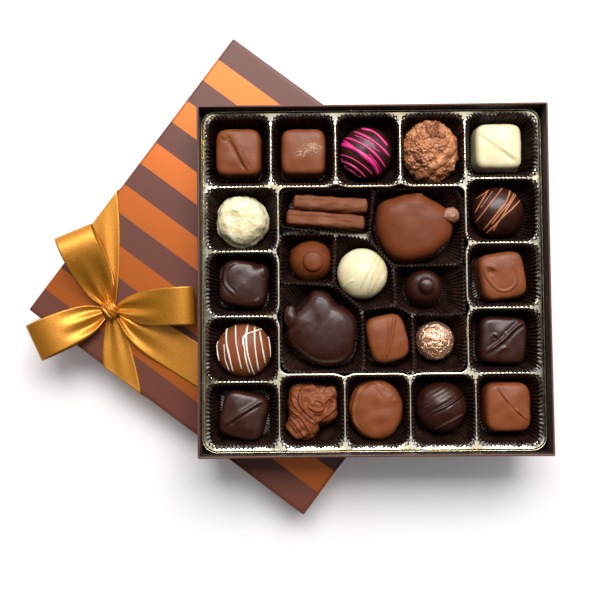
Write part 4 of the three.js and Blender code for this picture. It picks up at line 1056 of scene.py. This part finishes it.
def build_milk_patty():
    """A flat cluster with the end of a nut at its right."""
    body = Body("milk_cluster_large", freehand(MILK_PATTY), PATTY_PROFILE)
    body.build("milk_patty_body", [
        ridge([(0.4, 20.0), (2.4, 19.0), (5.0, 20.6)], 2.4, 1.0), dent(-2, -2, 9, 0.5),
        ridge([(18.8, 8.0), (22.6, 8.4)], 5.4, 1.2)],
        material=MILK_DEEP, wobble=0.35, wobble_size=17, seed=51, rows=56, columns=160)
    add_nub("milk_patty_nut", body, (22.2, 7.0, 14.2), (5.8, 4.9, 3.0), NUT_END, 52, 5, 9, 72)


def build_dark_patty():
    body = Body("dark_cluster_large", freehand(DARK_PATTY), PATTY_PROFILE)
    body.build("dark_patty_body", [
        dent(-3, 6, 8, 0.4), ridge([(0.0, 22.5), (-1.0, 17.0)], 6.0, 0.4)],
        wobble=0.25, wobble_size=16, seed=53, rows=56, columns=160)
    add_nub("dark_patty_nut", body, (-19.2, 7.4, 13.4), (4.2, 7.0, 3.4), DARK, 54, 13, 28, 85)


def build_swirled_cluster():
    ropes = [([(1.2, 13.6), (-5.7, 13.6), (-7.5, 8.3), (-5.6, 3.0), (-1.1, -1.5), (2.7, -5.3)], 2.3, 1.5),
             ([(-13.2, 9.8), (-9.4, 3.8), (-4.8, -1.5), (1.2, -6.1)], 1.9, 1.0),
             ([(-12.4, 14.0), (-7.9, 14.6), (-1.1, 15.2), (4.2, 13.6)], 2.2, 1.0),
             ([(-13.9, 3.0), (-7.9, -1.5), (-2.6, -9.1), (-1.1, -14.4)], 1.6, 0.9),
             ([(-13.2, -3.0), (-9.4, -7.6), (-4.8, -13.6)], 1.5, 0.8),
             ([(-16.2, -6.8), (-12.4, -12.1), (-8.6, -14.6)], 1.9, 0.9),
             ([(5.0, 13.6), (11.1, 14.4), (14.0, 9.8), (13.3, 3.8)], 2.2, 1.1),
             ([(7.3, 6.8), (10.3, 9.1), (12.6, 3.0), (7.3, -1.5), (3.5, -4.5)], 1.9, 1.2),
             ([(-2.6, 3.8), (2.7, 1.5), (6.5, 3.0), (5.7, 6.8), (1.2, 8.3)], 1.6, 1.0)]
    body = Body("milk_cluster_swirled", freehand(SWIRLED),
                [[0, 0.88], [1.2, 0.96], [4, 1.0], [9, 0.98], [12.5, 0.91], [15, 0.78], [16.8, 0.54]])
    relief = [ridge(path, width * 0.9, height * 1.25, skew=0.35) for path, width, height in ropes]
    body.build("swirled_cluster_body", relief + [dent(-3.6, 6.4, 2.2, 0.8)], wobble=0.4, wobble_size=6,
               seed=55, extra=lumps(56, 120, (15, 16), 2.4, 0.45, 2.0), rows=90, columns=240)


def build_milk_round():
    body = Body("milk_round", lobed(18.0, -0.055, [(3, 0.2, 40)]),
                [[0, 0.84], [1.4, 0.94], [4, 0.985], [8, 0.975], [11.6, 0.93], [14.2, 0.83], [15.7, 0.62]])
    body.build("milk_round_body", [
        ridge([(-3.8, 17.4), (-9.8, 12.9), (-13.6, 4.5), (-14.0, -5.3), (-9.1, -12.9)], 1.3, 0.6, skew=0.4),
        ridge([(-8.0, 15.4), (-12.6, 9.0), (-14.9, 0.0)], 1.0, 0.4),
        ridge([(-4.0, 15.4), (-1.0, 14.8), (2.4, 11.4), (5.2, 7.8)], 1.2, 0.5, skew=0.4),
        ridge([(-2.6, 17.0), (1.6, 16.2), (5.2, 12.6)], 1.0, 0.35),
        ridge([(8.2, 9.0), (8.6, 8.6)], 1.6, 0.7), ridge([(10.8, 6.2), (11.4, 5.8)], 1.9, 0.8),
        dent(-1.5, 1.5, 6.0, 0.8), dent(1.5, -8.5, 4.0, 0.4)], wobble=0.25, wobble_size=9, seed=57)


def add_nub(name, body, centre, size, material, seed, rows, columns, reach):
    """The end of a nut that stands out of a cluster: a lumpy ball, faceted if it has few rows.

    reach is the latitude in degrees of the first and last ring.
    """
    angles = np.linspace(0, 2 * math.pi, columns + 1)[:-1]
    rings = []
    for a in np.radians(np.linspace(-reach, reach, rows)):
        rings.append(np.column_stack([np.cos(angles) * math.cos(a), np.sin(angles) * math.cos(a),
                                      np.full(columns, math.sin(a))]))
    ball = np.array(rings)
    flat = ball.reshape(-1, 3)
    flat = flat * (1 + 0.09 * waves(flat, 1.4, seed)[:, None])
    points, faces = lofted(body.to_box((flat * size + centre).reshape(ball.shape)))
    add_piece(name, points, faces, material, [body.node], body.slot, smooth=rows > 9)


# Piece, material, radius, height, radius of the button, lean and seed.
BONBONS = {
    "milk_bonbon_button": ("milk_button_bonbon_body", MILK_DEEP, 13.1, 18.5, 6.1, (1.6, -1.8), 61),
    "dark_bonbon_button": ("dark_button_bonbon_body", DARK, 11.8, 18.0, 4.6, (0.3, 1.8), 62),
}


def build_bonbons():
    """Leaning domes, each with a button on its crown."""
    for node, (name, material, radius, height, button, lean, seed) in BONBONS.items():
        crown = button / radius
        steps = [(0, 0.86), (0.06, 0.95), (0.18, 1), (0.38, 0.975), (0.58, 0.87), (0.74, 0.70),
                 (0.82, crown * 1.2), (0.845, crown * 1.04), (0.88, crown * 1.02), (0.94, crown * 0.96),
                 (0.985, crown * 0.72), (1.0, crown * 0.4)]
        body = Body(node, lobed(radius), [[height * rise, share] for rise, share in steps], lean=lean)
        body.build(name, material=material, wobble=0.12, seed=seed, rows=64)


def crumple(points, cells=240, middle_z=7.0):
    """Push of crumpled foil: flat facets, each lifted or sunk, with creases between them."""
    draw = np.random.default_rng(71)
    rays = unit(points - np.array([0, 0, middle_z]))
    seeds = unit(draw.normal(size=(cells, 3)))
    away = np.linalg.norm(rays[:, None] - seeds[None], axis=2)
    first, second = np.sort(away, axis=1)[:, :2].T
    lift = draw.uniform(-0.35, 0.35, cells)[np.argmin(away, axis=1)]
    return lift * 0.45 - 0.32 * np.exp(-(second - first) / 0.04)


def build_foil_ball():
    body = Body("foil_wrapped_ball", lobed(11.9), ball_profile(17.3, 0.45))
    piece = body.build("foil_ball_body", material=FOIL, slot="rose_gold_foil", wobble=0.15, wobble_size=4,
                       seed=63, extra=crumple, rows=90, columns=210)
    piece.data.polygons.foreach_set("use_smooth", [False] * len(piece.data.polygons))


# Length, width, height, turn in degrees and seed.
STICKS = {"milk_stick_far": (46, 9.4, 13.3, -4, 65), "milk_stick_near": (48.6, 9.6, 12.3, -5.2, 68)}


def build_sticks():
    """Bars with rounded ends, a wavy skin and a crease along the top."""
    ends = [0.975, 0.994, 1]
    stations = np.concatenate([[-u for u in ends[::-1]], np.linspace(-0.94, 0.94, 70), ends])
    rounding = np.clip((np.abs(stations) - 0.93) / 0.07, 0, 1)
    shares = np.maximum(0.55, 1 - rounding ** 2.4 * 0.45)
    for node, (length, width, height, turn, seed) in STICKS.items():
        section = superellipse(width / 2, height / 2, 3.6)
        angles, _ = even_angles(section, 56)
        y, z = section(angles) * np.cos(angles), section(angles) * np.sin(angles)
        rings = np.array([np.column_stack([np.full(len(angles), u * length / 2), y * share, z * share])
                          for u, share in zip(stations, shares)])
        flat = rings.reshape(-1, 3)
        away = unit(flat * (0, 1, 1))
        push = waves(flat * (0.4, 1, 1), 5.0, seed) * 0.3 + waves(flat * (0.25, 1, 1), 1.8, seed + 1) * 0.12
        crease = np.exp(-((flat[:, 1] - 1.6 - 0.03 * flat[:, 0]) / 0.8) ** 2) * (flat[:, 2] > 0) * 0.45
        flat = flat + away * (push - crease)[:, None]
        flat[:, 2] = np.maximum(flat[:, 2], -height / 2) + SEAT_Z + height / 2
        flat[:, :2] = turned(flat[:, :2], math.radians(turn)) + SPOTS[node]
        points, faces = lofted(flat.reshape(rings.shape))
        add_piece(f"{node}_body", points, faces, MILK_MATTE, [node], "milk_chocolate")


def ring_lean(x, y, hx, hy, spread=0.62, outer_spread=1.25):
    """Rims spread squarely over the thin ridges, and further over the wide outer edge of the insert."""
    square = superellipse(hx + spread, hy + spread, 12)

    def lean(angles, r_out):
        across = np.abs(x - INSERT_CENTRE[0] + r_out * np.cos(angles))
        along = np.abs(y - INSERT_CENTRE[1] + r_out * np.sin(angles))
        outer = np.clip((np.maximum(across, along) - CELL_OUTER + 3.0) / 2.0, 0, 1)
        return square(angles) - r_out + outer_spread * outer
    return lean


# Feet of the cups: share of the rim's radius kept at the floor, largest radius, power of the wall's curve.
SQUARE_FOOT, TRUFFLE_FOOT, ROUND_FOOT = (0.77, 99, 1.0), (0.76, 14.6, 2.0), (0.86, 17.2, 2.0)
SWIRLED_FOOT = (0.86, [max(r, 13.5) for r in SWIRLED], 1.3)
MIDDLE_FOOT = {"milk_cluster_large": (0.96, MILK_PATTY, 1.1), "dark_cluster_large": (0.95, DARK_PATTY, 1.1),
               "white_truffle_lines": (0.84, 14.6, 1.8), "milk_sticks": (0.84, 99, 1.5),
               "milk_diamond_pleat": (0.82, 17.0, 1.3), "milk_bonbon_button": (0.7, 14.2, 1.2),
               "dark_bonbon_button": (0.7, 12.8, 1.2), "foil_wrapped_ball": (0.7, 12.8, 1.2)}


def build_cups():
    """One cup for each praline of the ring and the middle; the two sticks share one."""
    for i, ((name, _, _), (x, y, hx, hy)) in enumerate(zip(RING, ring_cells())):
        outline = superellipse(hx - CUP_GAP, hy - CUP_GAP, 7)
        foot = SQUARE_FOOT if "square" in name else TRUFFLE_FOOT if "truffle" in name else ROUND_FOOT
        foot = SWIRLED_FOOT if "swirled" in name else foot
        build_cup(f"paper_cup_{name}", f"cup_{name}", x, y, outline, foot, CUP_RIM_Z,
                  ring_lean(x, y, hx, hy), 100 + i)
    for i, (name, (corners, drop)) in enumerate(MIDDLE_CUPS.items()):
        outline = cell_around([MEET[corner] for corner in corners.split()], *MIDDLE[name], 0.1)
        build_cup(f"paper_cup_{name}", f"cup_{name}", *SPOTS[name], outline, MIDDLE_FOOT[name],
                  MIDDLE_RIM_Z - drop, lambda angles, r_out: np.full(len(angles), MIDDLE_LEAN), 130 + i)


# Ribbon

KNOT = np.array([-163.4, -16.2])
KNOT_BASE_Z = LID_HEIGHT + 1.0
# Directions from the lid's left corner along its near and its far edge.
ALONG_NEAR = np.array([math.cos(LID_TURN), math.sin(LID_TURN), 0])
ALONG_FAR = np.array([-math.sin(LID_TURN), math.cos(LID_TURN), 0])
UP = np.array([0, 0, 1.0])
BAND_WIDTH = 20.5
# Where the band crosses the lid's far and near edge, from the corner, and how much further at the foot.
BAND_FAR, BAND_NEAR = (77.5, 30.0), (74.0, 26.0)
BELOW_LID_Z = 0.25 + RIBBON_THICKNESS / 2
ON_LID_Z = LID_HEIGHT + 0.06 + RIBBON_THICKNESS / 2
TAIL_UNDER_BOX = 22
# Bow loops: heading in degrees, reach, depth, height of the tip, twist, depth of the folds, swell, seed.
LOOPS = {"far": (113.5, 53, 11, 38, 0.10, 2.0, 1.5, 0.4), "left": (204, 51, 8, 33.5, -0.06, 1.6, 0.9, 2.2),
         "right": (2, 54, 10, 38.5, 0.05, 1.8, 1.5, 4.0)}


def strip(name, stations, nodes, across=25):
    """A closed thin strip. Each station is (middle, side direction, width, fold depth, fold phase)."""
    blended = blend_rows([[*s[0], *s[1], *s[2:]] for s in stations], 6)
    middles, sides, others = blended[:, :3], blended[:, 3:6], blended[:, 6:]
    sides = unit(sides)
    outward = unit(np.cross(unit(np.gradient(middles, axis=0)), sides))
    v = np.linspace(-1, 1, across)
    front, back = [], []
    for i in range(len(middles)):
        width, fold, phase = others[i]
        wave = fold * (np.sin(v * 3.1 * math.pi / 1.6 + phase) + 0.35 * np.sin(v * 7.3 + 3 * phase))
        points = middles[i] + sides[i] * (v * width / 2)[:, None] + outward[i] * wave[:, None]
        front.append(points + outward[i] * RIBBON_THICKNESS / 2)
        back.append(points - outward[i] * RIBBON_THICKNESS / 2)
    rings = np.concatenate([np.array(front), np.array(back)[:, ::-1]], axis=1)
    points, faces = lofted(rings)
    piece = add_piece(name, points, faces, SATIN, nodes, "satin_ribbon")


def bow_loop(name, heading, reach, depth, tip_z, twist, folds, swell, seed):
    """Out from the knot over the top, round a soft fold, and back underneath."""
    angle = math.radians(heading)
    out = np.array([math.cos(angle), math.sin(angle), 0])
    side = np.cross(UP, out)
    start, gathered = 2.6, 4.0
    root_z = KNOT_BASE_Z + 3.0
    stations = []
    for u in np.linspace(0.014, 0.986, 25):
        share = math.sin(math.pi * u)
        along = start + (reach - start) * share
        z = root_z + (tip_z - root_z) * share + depth / 2 * math.sin(2 * math.pi * u)
        z -= swell * math.sin(2 * math.pi * share)
        middle = np.array([*KNOT, z]) + out * along
        width = gathered + (RIBBON_WIDTH - 0.2 - gathered) * (1 - math.exp(-share / 0.2))
        fold = folds * min(1, 0.1 + share / 0.16) * max(0, 1 - share * 1.6) ** 1.1
        phase = seed + (u * 2 if u < 0.5 else (1 - u) * 2 + math.pi)
        lean = twist * share
        across = side * math.cos(lean) + np.cross(out, side) * math.sin(lean)
        stations.append((middle, across, width, fold, phase))
    strip(f"ribbon_loop_{name}_satin", stations, [f"ribbon_loop_{name}"])


def lid_corner(z):
    """The lid's left corner, which the bow lies on, at a height."""
    half = LID_SIDE / 2
    return np.array([*LID_CENTRE, z]) - ALONG_NEAR * half - ALONG_FAR * half


def band_half(near, reach, slide):
    """Stations of the band from the knot over one edge of the lid and down its wall."""
    edge = ALONG_NEAR if near else ALONG_FAR
    outward = -ALONG_FAR if near else -ALONG_NEAR
    skin = RIBBON_THICKNESS / 2 + 0.12
    top_z = LID_HEIGHT + skin
    knot = np.array([*KNOT, top_z])

    def crossing(z, along, off):
        return lid_corner(z) + edge * along + outward * off

    lip = crossing(top_z, reach, 0)
    heading = unit((lip - knot) * (1, 1, 0))
    square = np.cross(UP, heading)
    slant = BAND_WIDTH / abs(square @ edge)
    edge_side = edge * np.sign(square @ edge)
    stations = []
    for u in (0.0, 0.08, 0.2, 0.4, 0.6, 0.8, 0.95):
        side = unit(square * (1 - u) + edge_side * u)
        width = 5 + (slant - 5) * min(1, u * 1.06)
        lift = 1.2 * max(0, 1 - u * 3)
        stations.append((knot + (lip - knot) * u + UP * lift, side, width, 0.5 * (1 - u) ** 0.7, 1.0))
    round_off = crossing(LID_HEIGHT - 0.1, reach + 0.3, skin * 0.8)
    stations.append((round_off + (0, 0, skin * 0.8), edge_side, slant, 0, 1.0))
    for u in (0.08, 0.3, 0.6, 0.98):
        point = crossing(LID_HEIGHT * (1 - u), reach + slide * u, skin + 0.2)
        stations.append((point, edge_side, slant, 0, 1.0))
    return stations


def build_band():
    """Over the lid's corner: up the far wall to the knot and from there down the near wall."""
    far = [(m, -s, w, f, p) for m, s, w, f, p in band_half(False, *BAND_FAR)[::-1]]
    near = band_half(True, *BAND_NEAR)
    strip("ribbon_band_satin", far + near[1:], ["ribbon_band"], across=17)


def build_under_run():
    """The band's way back below the lid, between the feet of its two walls."""
    inset = BOARD + 0.8
    corner = lid_corner(BELOW_LID_Z)
    start = corner + ALONG_FAR * sum(BAND_FAR) + ALONG_NEAR * inset
    end = corner + ALONG_NEAR * sum(BAND_NEAR) + ALONG_FAR * inset
    square = np.cross(UP, unit(end - start))
    far_side = ALONG_FAR * np.sign(square @ ALONG_FAR)
    near_side = ALONG_NEAR * np.sign(square @ ALONG_NEAR)
    run = []
    for u in np.linspace(0, 1, 6):
        side = unit(far_side * (1 - u) ** 6 + square * 4 * u * (1 - u) + near_side * u ** 6)
        run.append((start + (end - start) * u, side, BAND_WIDTH / abs(square @ side), 0, 0))
    strip("ribbon_under_run_satin", run, ["ribbon_under_run"], across=9)


def build_tail():
    """From the knot over the lid to the box's left wall, and on under the box."""
    start = np.array([*KNOT, 0])
    wall = np.array([-BOX_SIDE / 2, -53.6, 0])
    heading = unit(wall - start)
    side = np.cross(UP, heading)
    length = np.linalg.norm(wall - start)
    # (share of the way to the wall, height, width, depth of the folds)
    path = [(0.1, KNOT_BASE_Z + 2.2, 5, 1.2), (0.16, KNOT_BASE_Z + 2.8, 9, 1.3),
            (0.24, KNOT_BASE_Z + 3.0, 15, 1.0), (0.34, KNOT_BASE_Z + 2.2, 20, 0.7),
            (0.46, ON_LID_Z + 1.9, 23, 0.4), (0.58, ON_LID_Z + 1.0, RIBBON_WIDTH, 0.15),
            (0.7, ON_LID_Z + 0.5, RIBBON_WIDTH, 0.05),
            (0.82, ON_LID_Z + 0.02, RIBBON_WIDTH, 0), (1.0, ON_LID_Z, RIBBON_WIDTH, 0),
            (1 + TAIL_UNDER_BOX / length, ON_LID_Z, RIBBON_WIDTH, 0)]
    stations = [(start + heading * length * share + UP * z, side, width, fold, 1.3)
                for share, z, width, fold in path]
    strip("ribbon_tail_satin", stations, ["ribbon_tail"])


def build_knot():
    """The knot: one wrapped turn of ribbon with pleats that run round it."""
    profile = [[0, 0.7], [1, 0.92], [2.6, 1.04], [4.4, 1.02], [6.2, 0.84], [7.3, 0.45]]
    body = Body("ribbon_knot", lobed(5.3, 0.12, [(3, 0.3, 20)]), profile, turn=130, spot=tuple(KNOT))
    points, normals = body.grid(40, 96)
    flat = points.reshape(-1, 3)
    push = 0.34 * np.sin(flat[:, 1] * 2.6 + 0.5 * np.sin(flat[:, 0] * 0.9))
    push += 0.15 * np.sin(flat[:, 1] * 5.3 + 1)
    flat = flat + normals.reshape(-1, 3) * (push * np.clip(flat[:, 2] / 2, 0, 1))[:, None]
    moved = body.to_box(flat)
    moved[:, 2] += KNOT_BASE_Z - SEAT_Z
    points_out, faces = lofted(moved.reshape(points.shape))
    add_piece("ribbon_knot_folds", points_out, faces, SATIN, ["ribbon_knot"], "satin_ribbon")


def build_ribbon():
    build_band()
    build_under_run()
    for name, shape in LOOPS.items():
        bow_loop(name, *shape)
    build_tail()
    build_knot()


# Camera and light

def build_camera():
    """Solved from the straight edges of box and lid: position from the box's centre, and the turn."""
    focal_px, frame_px, sensor = 809.3, 600, 36.0
    spot = place((-43.17, -32.07, RIM_Z + 482.52))
    pitch, yaw, roll = (math.radians(a) for a in (-2.362, -0.155, 0.503))
    turn = Matrix.Rotation(roll, 3, "Z") @ Matrix.Rotation(yaw, 3, "Y") @ Matrix.Rotation(pitch, 3, "X")
    data = bpy.data.cameras.new("camera")
    data.sensor_width = sensor
    data.lens = focal_px / frame_px * sensor
    data.clip_start = 0.01
    camera = bpy.data.objects.new("camera", data)
    camera.matrix_world = Matrix.Translation(spot.tolist()) @ turn.transposed().to_4x4()
    scene.collection.objects.link(camera)
    scene.camera = camera


def add_softbox(name, spot, aim, size, watts):
    """A white rectangular lamp at a spot in metres, turned toward aim."""
    data = bpy.data.lights.new(name, "AREA")
    data.shape = "RECTANGLE"
    data.size, data.size_y = size
    data.energy = watts
    lamp = bpy.data.objects.new(name, data)
    heading = np.array(aim, float) - np.array(spot, float)
    z = -unit(heading)
    x = unit(np.cross((0, 1, 0.01), z))
    y = np.cross(z, x)
    turn = Matrix([[x[i], y[i], z[i]] for i in range(3)]).to_4x4()
    lamp.matrix_world = Matrix.Translation(spot) @ turn
    scene.collection.objects.link(lamp)


def build_world():
    """A soft bright wall on the far side and a round glow overhead."""
    world = bpy.data.worlds.new("studio")
    world.use_nodes = True
    tree = world.node_tree
    direction = tree.nodes.new("ShaderNodeTexCoord").outputs["Generated"]

    def measure(operation, vector, bounds):
        """0 to 1 between two bounds of a direction's dot product with, or distance from, a vector."""
        node = tree.nodes.new("ShaderNodeVectorMath")
        node.operation = operation
        node.inputs[1].default_value = vector
        tree.links.new(direction, node.inputs[0])
        span = tree.nodes.new("ShaderNodeMapRange")
        span.interpolation_type = "SMOOTHSTEP"
        span.inputs["From Min"].default_value, span.inputs["From Max"].default_value = bounds
        tree.links.new(node.outputs["Value"], span.inputs["Value"])
        return span.outputs["Result"]

    def multiply_add(value, factor):
        node = tree.nodes.new("ShaderNodeMath")
        node.operation = "MULTIPLY_ADD"
        tree.links.new(value, node.inputs[0])
        node.inputs[1].default_value = factor
        return node

    ambient, wall_strength, overhead_strength = 0.03, 0.85, 0.60
    wall = multiply_add(measure("DOT_PRODUCT", (0.15, 0.985, 0.0), (-0.22, 0.62)), wall_strength)
    wall.inputs[2].default_value = ambient
    overhead = measure("DISTANCE", (0.12, -0.06, 0.991), (0.34, 0.14))
    total = multiply_add(overhead, overhead_strength)
    tree.links.new(wall.outputs[0], total.inputs[2])
    background = tree.nodes["Background"]
    background.inputs["Color"].default_value = (1, 1, 1, 1)
    tree.links.new(total.outputs[0], background.inputs["Strength"])
    scene.world = world


def build_floor():
    """A white sweep that glows a little, as one in a lit studio does."""
    floor, tree, shader = new_material("white_sweep", (0.93, 0.90, 0.89), 0.7)
    vary_color(tree, shader, 60, (0.93, 0.89, 0.88), (0.94, 0.90, 0.89))
    shader.inputs["Emission Color"].default_value = (1, 1, 1, 1)
    shader.inputs["Emission Strength"].default_value = 0.08
    mesh = bpy.data.meshes.new("sweep")
    half = 3.0
    corners = [(-half, -half, 0), (half, -half, 0), (half, half, 0), (-half, half, 0)]
    mesh.from_pydata(corners, [], [(0, 1, 2, 3)])
    mesh.materials.append(floor)
    sweep = bpy.data.objects.new("sweep", mesh)
    scene.collection.objects.link(sweep)


def build_studio():
    """All light comes from the world, one lamp and a faint glow of the floor."""
    scene.view_settings.view_transform = "Standard"
    build_world()
    add_softbox("far_softbox", (0.2, 1.05, 1.75), (0, 0, 0.02), (1.7, 0.95), 46)
    build_floor()


build_camera()
build_studio()
build_lid()
build_box()
build_insert()
build_cups()
build_squares()
build_pink_lined_truffle()
build_milk_lined_truffle()
build_dark_lined_truffle()
build_white_lined_truffle()
build_white_ball_truffle()
build_rough_white_truffle()
build_nut_crusted_truffle()
build_milk_patty()
build_dark_patty()
build_swirled_cluster()
build_milk_round()
build_bonbons()
build_foil_ball()
build_sticks()
build_ribbon()
